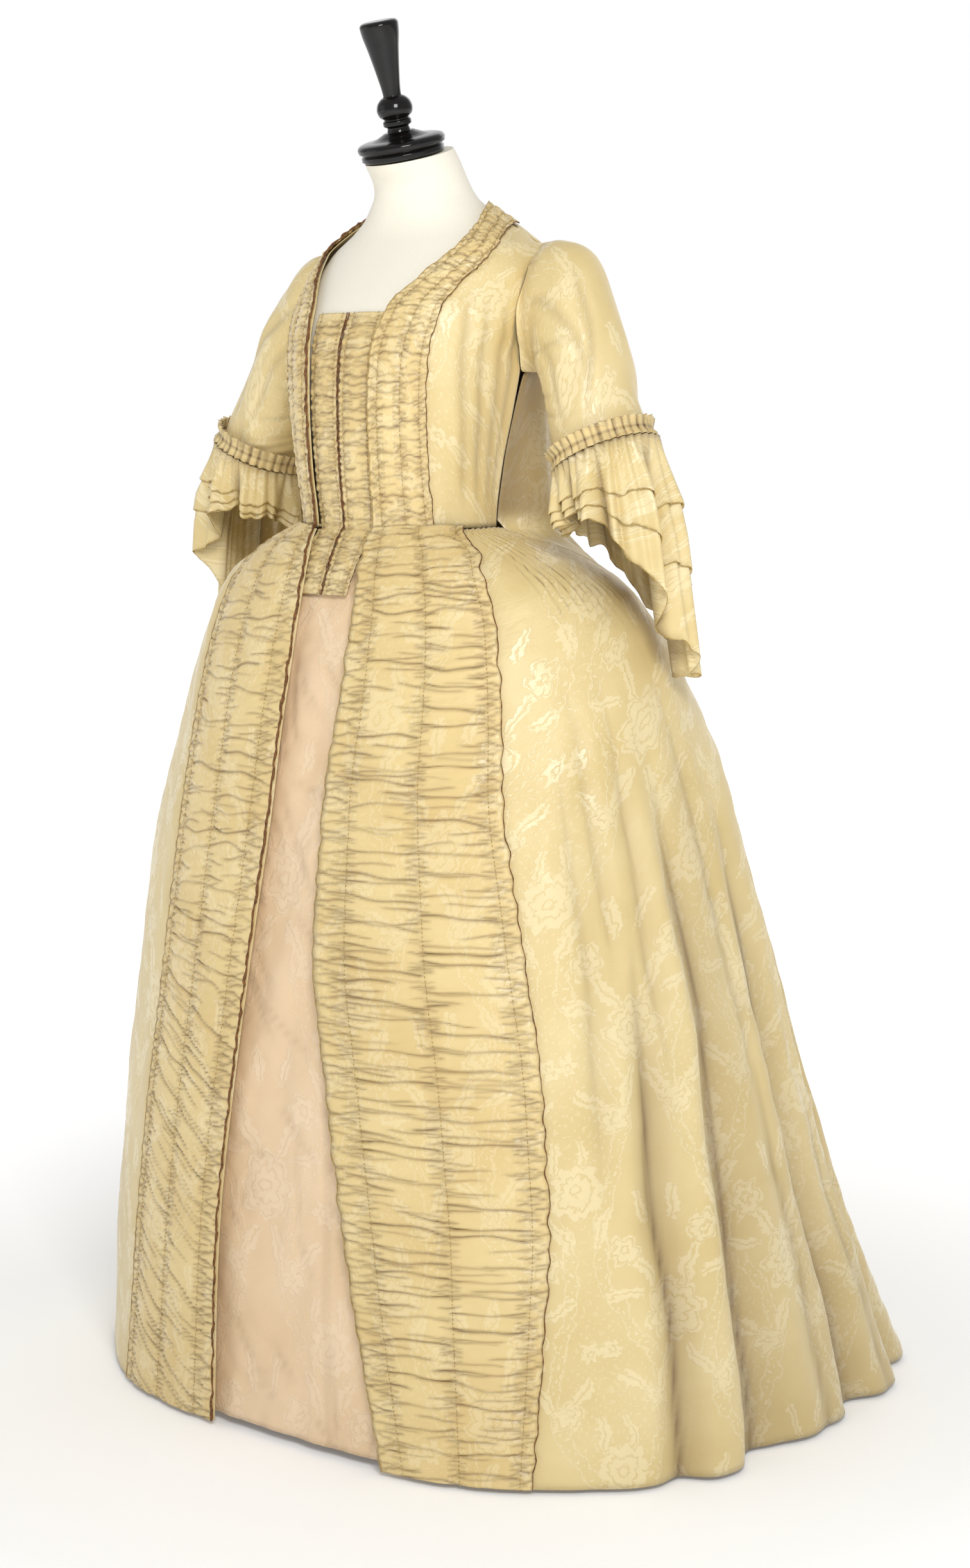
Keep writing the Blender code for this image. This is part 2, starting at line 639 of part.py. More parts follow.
def formRing(z):
    inset = FORM_DROP_WAIST + (FORM_DROP_CHEST - FORM_DROP_WAIST) * smooth((z - 1.16) / 0.14)
    inset *= 1.0 - 0.8 * smooth((z - 1.43) / 0.04)
    ring = []
    for angle in aroundAngles(FORM_COLUMNS):
        point = onSection(BODICE, angle, max(z, 0.98))
        outward = Vector((math.sin(angle), -math.cos(angle), 0.0))
        behind = smooth(-2 * math.cos(angle)) * smooth((z - 1.20) / 0.10) * smooth((1.46 - z) / 0.04)
        point -= outward * (inset + FORM_DROP_BACK * behind)
        lean = smooth((z - 1.46) / 0.055) * math.tan(NECK_LEAN)
        point.z = z + (point.y - NECK_CAP_CENTRE.y) * lean
        ring.append(point)
    return ring


def makeForm():
    heights = spread(FORM_BOTTOM, 1.30, FORM_ROWS // 2) + spread(1.30, 1.517, FORM_ROWS)[1:]
    rings = [formRing(z) for z in reversed(heights)]
    closedRings("form_torso", rings, (LINEN, 0.8))
    tilt = Matrix.Translation(NECK_CAP_CENTRE) @ Matrix.Rotation(NECK_LEAN, 4, "X")
    turned("form_neck_cap", NECK_CAP_PROFILE, (EBONISED, 0.08), place=tilt)
    turned("form_finial", FINIAL_PROFILE, (EBONISED, 0.08), place=tilt)
    top = FORM_BOTTOM - GAP
    foot = BASE_HEIGHT + GAP
    pole = [(0.0, top), (POLE_RADIUS, top), (POLE_RADIUS, foot), (0.0, foot)]
    turned("form_pole", pole, (STEEL, 0.35, 1.0), steps=POLE_STEPS)
    turned("form_base", BASE_PROFILE, (EBONISED, 0.3), steps=BASE_STEPS)


def main():
    for old in list(bpy.data.objects):
        bpy.data.objects.remove(old, do_unlink=True)
    bpy.context.scene.collection.children.link(bpy.data.collections.new(COLLECTION_NAME))
    makeForm()
    makePetticoat()
    makeSack()
    for side, word in ((1, "left"), (-1, "right")):
        makeBodice(side, word)
        makeCompere(side, word)
        makeSkirtSide(side, word)
        makeSleeve(side, word)


main()
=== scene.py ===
# Robe a la francaise on a limbless dress form: cloth, trimming, stand, light and camera.
# Metres, +Z up. The wearer faces -Y and the wearer's left is +X.

import math

import bpy
import numpy as np
from mathutils import Matrix, Vector


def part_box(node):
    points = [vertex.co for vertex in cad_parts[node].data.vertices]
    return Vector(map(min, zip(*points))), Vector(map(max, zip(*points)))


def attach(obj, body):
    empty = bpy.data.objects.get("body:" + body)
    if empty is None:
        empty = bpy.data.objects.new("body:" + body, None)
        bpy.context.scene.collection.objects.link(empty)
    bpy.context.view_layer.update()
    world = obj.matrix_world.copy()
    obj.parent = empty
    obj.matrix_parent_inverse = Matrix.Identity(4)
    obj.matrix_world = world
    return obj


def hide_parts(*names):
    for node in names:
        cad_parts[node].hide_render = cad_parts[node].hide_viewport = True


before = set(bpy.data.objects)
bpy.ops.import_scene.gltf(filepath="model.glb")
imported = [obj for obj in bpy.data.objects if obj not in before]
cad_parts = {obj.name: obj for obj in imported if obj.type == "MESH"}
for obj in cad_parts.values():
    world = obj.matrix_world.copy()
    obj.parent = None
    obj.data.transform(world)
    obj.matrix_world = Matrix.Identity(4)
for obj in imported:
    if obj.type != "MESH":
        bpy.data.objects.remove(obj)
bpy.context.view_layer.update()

scene = bpy.context.scene
gap = 0.0003        # clearance kept at seams
forward = np.array([0.0, -1.0, 0.0])       # the way the wearer faces

viewpoint = {
    "turn": 41.0,          # degrees round the gown, from straight in front towards the wearer's left
    "distance": 3.4,
    "height": 1.19,
    "tilt": 7.2,           # degrees down
    "aside": 0.072,        # the axis of the stand lies this far to one side of the middle of the frame
    "lens": 63.58,
    "sensor": 36.0,
}


def makeCamera(settings):
    turn, tilt = math.radians(settings["turn"]), math.radians(settings["tilt"])
    ahead = Vector((-math.sin(turn) * math.cos(tilt), math.cos(turn) * math.cos(tilt), -math.sin(tilt)))
    right = Vector((math.cos(turn), math.sin(turn), 0.0))
    up = right.cross(ahead)
    camera = bpy.data.objects.new("camera", bpy.data.cameras.new("camera"))
    scene.collection.objects.link(camera)
    camera.matrix_world = Matrix((right, up, -ahead)).transposed().to_4x4()
    camera.location = Vector((math.sin(turn) * settings["distance"], -math.cos(turn) * settings["distance"],
                              settings["height"])) + right * settings["aside"]
    camera.data.lens = settings["lens"]
    camera.data.sensor_width = settings["sensor"]
    camera.data.clip_start = 0.05
    scene.camera = camera


makeCamera(viewpoint)
print("camera placed")

def table(columns, rows):
    return dict(zip(columns.split(), np.array(rows, float).T))


def smooth(t):
    t = np.clip(t, 0.0, 1.0)
    return t * t * (3 - 2 * t)


def power(value, exponent):
    return np.copysign(np.abs(value) ** exponent, value)


def curveThrough(xs, ys, x):
    # a smooth curve through points that never overshoots them
    order = np.argsort(xs)
    xs, ys = xs[order], ys[order]
    x = np.clip(x, xs[0], xs[-1])
    steps = np.diff(xs)
    slopes = np.diff(ys) / steps
    before, after = slopes[:-1], slopes[1:]
    turning = before * after <= 0
    before, after = np.where(turning, 1.0, before), np.where(turning, 1.0, after)
    wide = 2 * steps[1:] + steps[:-1]
    narrow = steps[1:] + 2 * steps[:-1]
    middle = np.where(turning, 0.0, (wide + narrow) / (wide / before + narrow / after))
    tangents = np.concatenate([slopes[:1], middle, slopes[-1:]])
    i = np.clip(np.searchsorted(xs, x) - 1, 0, len(steps) - 1)
    h = steps[i]
    t = (x - xs[i]) / h
    start = ys[i] * (1 + 2 * t) * (1 - t) ** 2 + h * tangents[i] * t * (1 - t) ** 2
    end = ys[i + 1] * t * t * (3 - 2 * t) + h * tangents[i + 1] * t * t * (t - 1)
    return start + end


def read(rows, key, name, x):
    return curveThrough(rows[key], rows[name], x)


def between(rows, name, t):
    # a column read at t from 0, the first row, to 1, the last
    values = rows[name]
    return curveThrough(np.linspace(0, 1, len(values)), values, t)


# Sections of the fitted bodice and of the skirt: half width, depth to the front and back of the
# stand's axis, place of the widest line and squareness (2 is an ellipse).
bodiceSections = table("z halfWidth front back widestY square", [
    (0.980, 0.132, 0.145, 0.080, -0.030, 2.10),
    (1.080, 0.123, 0.147, 0.074, -0.030, 2.10),
    (1.150, 0.131, 0.154, 0.082, -0.030, 2.15),
    (1.220, 0.143, 0.157, 0.092, -0.025, 2.20),
    (1.280, 0.153, 0.154, 0.105, -0.015, 2.25),
    (1.330, 0.160, 0.138, 0.113, 0.000, 2.30),
    (1.370, 0.160, 0.112, 0.118, 0.020, 2.30),
    (1.405, 0.148, 0.086, 0.112, 0.030, 2.30),
    (1.430, 0.118, 0.068, 0.098, 0.025, 2.20),
    (1.452, 0.088, 0.060, 0.078, 0.015, 2.10),
    (1.475, 0.064, 0.060, 0.054, 0.000, 2.00),
    (1.520, 0.053, 0.084, 0.024, -0.030, 2.00),
])
skirtSections = table("z halfWidth front back widestY square", [
    (0.000, 0.470, 0.298, 0.620, 0.080, 2.60),
    (0.150, 0.462, 0.296, 0.510, 0.075, 2.50),
    (0.340, 0.440, 0.287, 0.400, 0.060, 2.50),
    (0.540, 0.415, 0.270, 0.337, 0.045, 2.40),
    (0.730, 0.379, 0.246, 0.297, 0.030, 2.40),
    (0.860, 0.346, 0.226, 0.258, 0.020, 2.30),
    (0.930, 0.320, 0.209, 0.230, 0.010, 2.30),
    (0.980, 0.298, 0.195, 0.196, 0.000, 2.20),
    (1.020, 0.262, 0.181, 0.162, -0.010, 2.20),
    (1.058, 0.188, 0.164, 0.118, -0.020, 2.20),
    (1.080, 0.127, 0.150, 0.076, -0.030, 2.10),
])
# Front edges of the skirt, as distances along X: the opening swings to the wearer's left.
frontEdges = table("z rightOuter rightInner leftInner leftOuter", [
    (0.000, -0.275, -0.080, 0.189, 0.353),
    (0.250, -0.245, -0.072, 0.135, 0.357),
    (0.430, -0.225, -0.055, 0.098, 0.342),
    (0.620, -0.208, -0.036, 0.062, 0.308),
    (0.780, -0.200, -0.024, 0.060, 0.273),
    (0.880, -0.197, -0.022, 0.066, 0.256),
    (0.980, -0.192, -0.026, 0.062, 0.228),
    (1.045, -0.165, -0.034, 0.052, 0.182),
    (1.080, -0.121, -0.044, 0.047, 0.121),
])
# Lines across a bodice front, from the waist over the shoulder: neck edge, outer edge of the
# robing, side seam or armhole. Degrees from the front, and heights.
bodiceLines = table("neckAngle neckZ trimAngle trimZ edgeAngle edgeZ", [
    (20.5, 1.0803, 55.0, 1.0803, 100.0, 1.0803),
    (19.5, 1.1500, 51.0, 1.1500, 99.5, 1.1500),
    (17.5, 1.2200, 47.0, 1.2200, 98.5, 1.2150),
    (16.5, 1.2800, 44.5, 1.2760, 96.0, 1.2700),
    (18.5, 1.3320, 44.0, 1.3240, 87.0, 1.3080),
    (26.0, 1.3640, 47.0, 1.3540, 82.0, 1.3450),
    (38.0, 1.3980, 56.0, 1.3860, 81.0, 1.3760),
    (60.0, 1.4320, 72.0, 1.4180, 86.0, 1.3960),
    (92.0, 1.4570, 95.0, 1.4350, 98.0, 1.4060),
    (113.0, 1.4630, 111.5, 1.4380, 106.5, 1.4080),
])
# Lines across half of the sack back, from the shoulder to the hem.
sackLines = table("seamAngle seamZ centreZ climb half depth loose pleat", [
    (110.5, 1.4080, 1.4600, 0.12, 0.150, 0.086, 0.0, 0.002),
    (113.0, 1.3760, 1.4300, 0.40, 0.150, 0.122, 0.2, 0.003),
    (116.0, 1.3380, 1.3850, 0.70, 0.150, 0.131, 1.0, 0.005),
    (111.0, 1.2940, 1.3200, 1.00, 0.147, 0.133, 1.0, 0.007),
    (101.0, 1.2560, 1.2600, 1.00, 0.146, 0.133, 1.0, 0.008),
    (100.8, 1.1700, 1.1700, 1.00, 0.150, 0.134, 1.0, 0.010),
    (101.5, 1.0803, 1.0803, 1.00, 0.160, 0.140, 1.0, 0.011),
    (118.0, 1.0450, 1.0450, 1.00, 0.178, 0.152, 0.9, 0.012),
    (132.0, 0.9900, 0.9900, 1.00, 0.205, 0.186, 0.6, 0.014),
    (140.0, 0.9200, 0.9200, 1.00, 0.225, 0.232, 0.3, 0.015),
    (143.0, 0.7800, 0.7800, 1.00, 0.250, 0.280, 0.0, 0.016),
    (145.0, 0.5400, 0.5400, 1.00, 0.270, 0.337, 0.0, 0.019),
    (146.0, 0.2800, 0.2800, 1.00, 0.290, 0.430, 0.0, 0.022),
    (146.0, 0.0060, 0.0060, 1.00, 0.300, 0.620, 0.0, 0.026),
])
# The skirt's folds: degrees from the front, width in degrees, height where each begins, depth.
skirtFolds = table("angle width startZ depth", [
    (64.0, 7.0, 0.70, 0.012),
    (79.0, 6.0, 0.88, 0.022),
    (96.0, 8.0, 0.80, 0.020),
    (112.0, 6.0, 0.90, 0.026),
    (128.0, 7.0, 0.85, 0.022),
])

waistZ = 1.080
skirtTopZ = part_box("skirt_left")[1][2] - 0.001
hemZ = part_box("skirt_left")[0][2]
lowestZ = hemZ * 0.6       # no crease hangs below this
sackTopZ = sackLines["seamZ"][0]


def onSection(sections, angle, z):
    half, front, back, widest, square = (
        read(sections, "z", name, z) for name in ("halfWidth", "front", "back", "widestY", "square")
    )
    depth = np.where(np.cos(angle) > 0, widest + front, back - widest)
    x = half * power(np.sin(angle), 2 / square)
    y = widest - depth * power(np.cos(angle), 2 / square)
    return np.stack([x, y, z + 0 * x], -1)


def outwardAt(angle):
    return np.stack([np.sin(angle), -np.cos(angle), 0 * angle], -1)


def onBodice(angle, z):
    return onSection(bodiceSections, angle, z)


def onPlainSkirt(angle, z):
    return onSection(skirtSections, angle, z)


def foldsAt(angle, z):
    total = 0 * angle
    for centre, width, startZ, depth in zip(*skirtFolds.values()):
        off = (np.abs(np.degrees(angle)) - centre) / width
        total = total + depth * smooth((startZ - z) / startZ) * np.exp(-off * off)
    return total


def onSkirt(angle, z):
    return onPlainSkirt(angle, z) + outwardAt(angle) * foldsAt(angle, z)[..., None]


def normalsOf(points, ring=False):
    if ring:
        wrapped = np.concatenate([points[:, -2:-1], points, points[:, 1:2]], 1)
        across = wrapped[:, 2:] - wrapped[:, :-2]
    else:
        across = np.gradient(points, axis=1)
    normals = np.cross(np.gradient(points, axis=0), across)
    return normals / np.maximum(np.linalg.norm(normals, axis=-1, keepdims=True), 1e-9)


def pushed(points, height, ring=False):
    return points + normalsOf(points, ring) * np.broadcast_to(height, points.shape[:2])[..., None]


def facing(grid, side):
    # columns run to the wearer's left, so those of a right-hand piece are turned round
    return grid if side > 0 else grid[:, ::-1]


def mirrored(points, side):
    return points if side > 0 else points[:, ::-1] * np.array([-1.0, 1.0, 1.0])


def cutMap(points):
    # the place of each point on the flat cloth, in metres across and down
    across = np.linalg.norm(np.diff(points, axis=1), axis=-1)
    down = np.linalg.norm(np.diff(points, axis=0), axis=-1)
    u = np.concatenate([np.zeros((len(points), 1)), np.cumsum(across, 1)], 1)
    v = np.concatenate([np.zeros((1, points.shape[1])), -np.cumsum(down, 0)], 0)
    return np.stack([u, v], -1)


def softNoise(u, v, size, seed, waves=10):
    # rolling unevenness about one size, from -1 to 1 or so
    rng = np.random.default_rng(seed)
    total = 0 * u
    for _ in range(waves):
        heading = rng.uniform(0, 2 * math.pi)
        length = size * rng.uniform(0.7, 1.6)
        total = total + np.cos(2 * math.pi * (u * math.cos(heading) + v * math.sin(heading)) / length
                               + rng.uniform(0, 2 * math.pi))
    return total / math.sqrt(waves)


pieces = []


def asObject(mesh):
    obj = bpy.data.objects.new(mesh.name, mesh)
    scene.collection.objects.link(obj)
    return obj


def finishOf(obj, finish):
    obj.data.materials.clear()
    obj.data.materials.append(finish)
    return obj


def clothPiece(name, points, finish, wall=0.0007, ring=False, uv=None, fold=None, inward=False):
    # a thin shell through a grid of points; a ring's last column repeats its first
    rows, columns = points.shape[:2]
    uv = cutMap(points) if uv is None else uv
    width = columns - 1 if ring else columns
    index = np.arange(rows * width).reshape(rows, width)
    left = index[:, :columns - 1]
    right = index[:, (np.arange(columns - 1) + 1) % width]
    faces = np.stack([left[1:], right[1:], right[:-1], left[:-1]], -1).reshape(-1, 4)
    mesh = bpy.data.meshes.new(name)
    mesh.from_pydata(points[:, :width].reshape(-1, 3).tolist(), [], faces.tolist())
    corners = np.stack([uv[1:, :-1], uv[1:, 1:], uv[:-1, 1:], uv[:-1, :-1]], 2)
    mesh.uv_layers.new(name="cut").uv.foreach_set("vector", corners.reshape(-1))
    shade = np.zeros((rows, columns)) if fold is None else np.clip(fold, 0, 1)
    mesh.attributes.new("fold", "FLOAT", "POINT").data.foreach_set("value", shade[:, :width].reshape(-1))
    mesh.shade_smooth()
    obj = finishOf(asObject(mesh), finish)
    thicken = obj.modifiers.new("Wall", "SOLIDIFY")
    thicken.thickness = wall
    thicken.offset = -1.0 if inward else 1.0
    return obj


def turnedPiece(name, profile, finish, steps=96, fine=5, place=Matrix.Identity(4)):
    # a profile of (radius, height) from the top down, turned round the vertical
    profile = np.array(profile)
    run = np.concatenate([[0], np.cumsum(np.linalg.norm(np.diff(profile, axis=0), axis=1))])
    at = np.concatenate([np.linspace(a, b, fine, endpoint=False) for a, b in zip(run, run[1:])] + [run[-1:]])
    radius, height = curveThrough(run, profile[:, 0], at), curveThrough(run, profile[:, 1], at)
    turn = np.linspace(0, 2 * math.pi, steps, endpoint=False)
    rings = [(r * math.cos(a), r * math.sin(a), z) for r, z in zip(radius[1:-1], height[1:-1]) for a in turn]
    verts = [(0, 0, height[0])] + rings + [(0, 0, height[-1])]
    count = len(radius) - 2
    faces = []
    for k in range(steps):
        n = (k + 1) % steps
        faces.append((0, 1 + k, 1 + n))
        faces.append((len(verts) - 1, 1 + (count - 1) * steps + n, 1 + (count - 1) * steps + k))
        for i in range(count - 1):
            a, b = 1 + i * steps, 1 + (i + 1) * steps
            faces.append((a + k, b + k, b + n, a + n))
    mesh = bpy.data.meshes.new(name)
    mesh.from_pydata(verts, [], faces)
    mesh.transform(place)
    mesh.shade_smooth()
    mesh.set_sharp_from_angle(angle=math.radians(50))
    return finishOf(asObject(mesh), finish)


def hold(piece, slot, *nodes):
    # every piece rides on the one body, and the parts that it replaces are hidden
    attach(piece, "root")
    if nodes:
        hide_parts(*nodes)
    pieces.append(piece)
    return piece


def colour(hexText, strength=1.0):
    # sRGB hex to linear
    parts = [int(hexText[i:i + 2], 16) / 255 for i in (1, 3, 5)]
    linear = [p / 12.92 if p <= 0.04045 else ((p + 0.055) / 1.055) ** 2.4 for p in parts]
    return (*[p * strength for p in linear], 1.0)


def addNode(tree, kind, inputs=None, **settings):
    # inputs are values, sockets, or nodes whose first output is taken
    node = tree.nodes.new(kind)
    for name, value in settings.items():
        setattr(node, name, value)
    for key, value in (inputs or {}).items():
        if isinstance(value, bpy.types.Node):
            value = value.outputs[0]
        if isinstance(value, bpy.types.NodeSocket):
            tree.links.new(value, node.inputs[key])
        else:
            node.inputs[key].default_value = value
    return node


def maths(tree, operation, *values):
    return addNode(tree, "ShaderNodeMath", dict(enumerate(values)), operation=operation)


def vectors(tree, operation, *values):
    return addNode(tree, "ShaderNodeVectorMath", dict(enumerate(values)), operation=operation)


def remap(tree, value, low=0.0, high=1.0, to=(0.0, 1.0)):
    return addNode(tree, "ShaderNodeMapRange", {"Value": value, "From Min": low, "From Max": high,
                                                "To Min": to[0], "To Max": to[1]})


def mixed(tree, share, first, second):
    return addNode(tree, "ShaderNodeMix", {0: share, 6: first, 7: second}, data_type="RGBA").outputs[2]


# One repeat of the damask, a point repeat mirrored about its middle, in metres.
damask = {
    "width": 0.27,         # half the width of a loom of the time
    "height": 0.46,
    "edge": 0.0022,        # softness of the drawn edges
    "wander": 0.055,
    "blooms": table("x y size petals lobes rings", [
        (0.000, 0.000, 0.050, 8, 0.16, 3.0),
        (0.135, 0.230, 0.042, 10, 0.12, 2.5),
        (0.072, 0.120, 0.027, 6, 0.22, 2.0),
        (0.060, -0.128, 0.022, 5, 0.26, 2.0),
        (0.118, -0.030, 0.017, 6, 0.25, 1.5),
    ]),
    "leaves": table("x y long wide turn", [
        (0.040, 0.072, 0.040, 0.013, 60),
        (0.085, 0.050, 0.034, 0.011, 15),
        (0.100, 0.165, 0.036, 0.012, 120),
        (0.030, -0.090, 0.040, 0.012, 118),
        (0.094, -0.095, 0.034, 0.012, 40),
        (0.112, -0.170, 0.030, 0.010, 80),
        (0.028, 0.180, 0.034, 0.011, 75),
    ]),
    "ribbonReach": 0.034,
    "ribbonX": 0.078,
    "ribbonWidth": 0.013,
    "dotPitch": 0.0085,    # the dotted ground, drawn coarser than woven so that it shows
}


def makeDamaskFigure(settings):
    tree = bpy.data.node_groups.new("damaskFigure", "ShaderNodeTree")
    tree.interface.new_socket("Cut", in_out="INPUT", socket_type="NodeSocketVector")
    tree.interface.new_socket("Figure", in_out="OUTPUT", socket_type="NodeSocketFloat")
    tree.interface.new_socket("Ground", in_out="OUTPUT", socket_type="NodeSocketFloat")
    entry = addNode(tree, "NodeGroupInput")
    half, tall, edge = settings["width"] / 2, settings["height"], settings["edge"]
    # the drawing wanders a little, as drawn by hand
    coarse = addNode(tree, "ShaderNodeTexNoise", {"Vector": entry.outputs[0], "Scale": 17.0, "Detail": 5.0,
                                                  "Roughness": 0.68}).outputs["Color"]
    offset = vectors(tree, "SUBTRACT", coarse, (0.5, 0.5, 0.5))
    moved = addNode(tree, "ShaderNodeVectorMath", {0: offset, "Scale": settings["wander"]},
                    operation="SCALE")
    drawn = vectors(tree, "ADD", entry.outputs[0], moved)
    place = addNode(tree, "ShaderNodeSeparateXYZ", {0: drawn})
    across = maths(tree, "PINGPONG", place.outputs[0], half)
    figure = None

    def placed(x, y):
        dx = maths(tree, "SUBTRACT", across, x)
        off = maths(tree, "SUBTRACT", place.outputs[1], y)
        dy = maths(tree, "WRAP", off, tall / 2, -tall / 2)
        return dx, dy, addNode(tree, "ShaderNodeCombineXYZ", {0: dx, 1: dy})

    def gathered(total, shape):
        if total is None:
            return shape
        return maths(tree, "MAXIMUM", total, shape)

    for x, y, size, petals, lobes, rings in zip(*settings["blooms"].values()):
        dx, dy, spot = placed(x, y)
        radius = vectors(tree, "LENGTH", spot).outputs["Value"]
        bearing = maths(tree, "ARCTAN2", dy, dx)
        turns = maths(tree, "MULTIPLY", bearing, petals / 2)
        swing = maths(tree, "COSINE", turns)
        petal = maths(tree, "ABSOLUTE", swing)
        reach = maths(tree, "MULTIPLY_ADD", petal, 2 * lobes * size, size * (1 - lobes))
        share = maths(tree, "DIVIDE", radius, reach)
        inside = remap(tree, share, 1.0, 1 - edge / size)
        phase = maths(tree, "MULTIPLY", share, 2 * math.pi * rings)
        wave = maths(tree, "COSINE", phase)
        ringed = remap(tree, wave, -0.97, -0.6)
        bloom = maths(tree, "MULTIPLY", inside, ringed)
        figure = gathered(figure, bloom)
    for x, y, long, wide, turn in zip(*settings["leaves"].values()):
        spot = placed(x, y)[2]
        turned = addNode(tree, "ShaderNodeVectorRotate", {"Vector": spot, "Angle": math.radians(-turn)},
                         rotation_type="Z_AXIS")
        scaled = vectors(tree, "MULTIPLY", turned, (1 / long, 1 / wide, 0))
        parts = addNode(tree, "ShaderNodeSeparateXYZ", {0: scaled})
        teeth = maths(tree, "MULTIPLY", parts.outputs[0], 16.0)
        tooth = maths(tree, "SINE", teeth)
        radius = vectors(tree, "LENGTH", scaled).outputs["Value"]
        reach = maths(tree, "MULTIPLY_ADD", tooth, 0.12, radius)
        inside = remap(tree, reach, 1.0, 0.84)
        vein = maths(tree, "ABSOLUTE", parts.outputs[1])
        veined = remap(tree, vein, 0.06, 0.2)
        leaf = maths(tree, "MULTIPLY", inside, veined)
        figure = gathered(figure, leaf)
    # a lace ribbon that winds between the blooms
    turns = maths(tree, "MULTIPLY", place.outputs[1], 2 * math.pi / tall)
    swing = maths(tree, "SINE", turns)
    middle = maths(tree, "MULTIPLY_ADD", swing, settings["ribbonReach"], settings["ribbonX"])
    off = maths(tree, "SUBTRACT", across, middle)
    away = maths(tree, "ABSOLUTE", off)
    band = remap(tree, away, settings["ribbonWidth"], settings["ribbonWidth"] - edge)
    rim = remap(tree, away, settings["ribbonWidth"] * 0.62, settings["ribbonWidth"] * 0.8)
    pitch = math.pi / settings["dotPitch"]
    waves = [maths(tree, "SINE", maths(tree, "MULTIPLY", part, pitch))
             for part in (across, place.outputs[1])]
    grid = maths(tree, "MULTIPLY", waves[0], waves[1])
    dots = remap(tree, grid, 0.45, 0.75)
    lace = maths(tree, "MAXIMUM", rim, dots)
    ribbon = maths(tree, "MULTIPLY", band, lace)
    figure = gathered(figure, ribbon)
    # dots fill the ground on one side of the ribbon
    beyond = remap(tree, off, 0.016, 0.02)
    sown = maths(tree, "MULTIPLY", beyond, dots)
    addNode(tree, "NodeGroupOutput", {0: figure, 1: sown})
    return tree


def makeSilk(name, look, figureTree):
    # Silk damask, woven: satin figure on a ribbed ground, so the figure is smoother and shines more.
    # The fold attribute paints shade into the bottoms of creases and folds, towards the crease colour.
    finish = bpy.data.materials.new(name)
    finish.use_nodes = True
    tree = finish.node_tree
    shader = tree.nodes["Principled BSDF"]
    cut = addNode(tree, "ShaderNodeUVMap", uv_map="cut")
    placed = addNode(tree, "ShaderNodeMapping", {"Vector": cut.outputs[0], "Location": look["shift"],
                                                 "Scale": (look["scale"], look["scale"], 1)})
    pattern = addNode(tree, "ShaderNodeGroup", {}, node_tree=figureTree)
    tree.links.new(placed.outputs[0], pattern.inputs[0])
    sown = maths(tree, "MULTIPLY", pattern.outputs[1], 0.55)
    figure = maths(tree, "MAXIMUM", pattern.outputs[0], sown)
    # broad unevenness: ageing, and the lie of the threads
    broad = addNode(tree, "ShaderNodeTexNoise", {"Vector": cut.outputs[0], "Scale": 7.0, "Detail": 3.0,
                                                 "Roughness": 0.55})
    fade = remap(tree, broad.outputs[0], 0.3, 0.7)
    ground = mixed(tree, fade, colour(look["ground"]), colour(look["aged"]))
    tone = maths(tree, "MULTIPLY", figure, look["contrast"])
    woven = mixed(tree, tone, ground, colour(look["figure"]))
    # painted shade: the crease colour is mixed in where the fold attribute is high
    fold = addNode(tree, "ShaderNodeAttribute", attribute_name="fold")
    depth = maths(tree, "MULTIPLY", fold.outputs["Fac"], look["creaseShadeStrength"])
    shaded = mixed(tree, depth, woven, colour(look["crease"]))
    # ribs 3 mm apart, coarser than woven so that they show, and threads that slub along them
    threads = addNode(tree, "ShaderNodeMapping", {"Vector": cut.outputs[0],
                                                  "Scale": (1 / 0.06, 1 / 0.003, 1)})
    slub = addNode(tree, "ShaderNodeTexNoise", {"Vector": threads.outputs[0], "Scale": 1.0, "Detail": 2.0})
    crumple = addNode(tree, "ShaderNodeTexNoise", {"Vector": cut.outputs[0], "Scale": look["crumple"],
                                                   "Detail": 3.0, "Roughness": 0.6, "Distortion": 0.6})
    relief = maths(tree, "MULTIPLY", figure, look["relief"])
    ribbed = maths(tree, "MULTIPLY_ADD", slub.outputs[0], 0.35, relief)
    rough = maths(tree, "MULTIPLY_ADD", crumple.outputs[0], look["crumpleDepth"], ribbed)
    bump = addNode(tree, "ShaderNodeBump", {"Height": rough, "Strength": look["bump"], "Distance": 0.001})
    gloss = remap(tree, figure, to=(look["roughGround"], look["roughFigure"]))
    tree.links.new(shaded, shader.inputs["Base Color"])
    tree.links.new(gloss.outputs[0], shader.inputs["Roughness"])
    tree.links.new(bump.outputs[0], shader.inputs["Normal"])
    shader.inputs["IOR"].default_value = 1.54
    shader.inputs["Specular IOR Level"].default_value = look["shine"]
    shader.inputs["Sheen Weight"].default_value = 0.18
    shader.inputs["Sheen Roughness"].default_value = 0.4
    return finish


# crease is the colour of the painted shade in creases and folds
silkLook = {
    "ground": "#DFCB97", "aged": "#D3BC82", "figure": "#F1E4BD", "crease": "#553208",
    "contrast": 0.40, "creaseShadeStrength": 1.0, "relief": 0.5, "bump": 0.6, "crumple": 55.0, "crumpleDepth": 1.8,
    "roughGround": 0.50, "roughFigure": 0.36, "shine": 0.5, "scale": 1.4, "shift": (0.0, 0.0, 0.0),
}
trimLook = dict(
    silkLook, ground="#E0C990", aged="#D4B97D", contrast=0.26, relief=0.3, crumple=90.0, crumpleDepth=1.2,
    shift=(0.05, 0.11, 0.0),
)
petticoatLook = dict(
    silkLook, ground="#E6CBA8", aged="#DCBF98", figure="#F0DFC6", crease="#7A5838", contrast=0.22,
    creaseShadeStrength=0.55, crumple=46.0, crumpleDepth=1.7, roughGround=0.55, roughFigure=0.45, shine=0.4,
    scale=1.25, shift=(0.02, 0.05, 0.0),
)


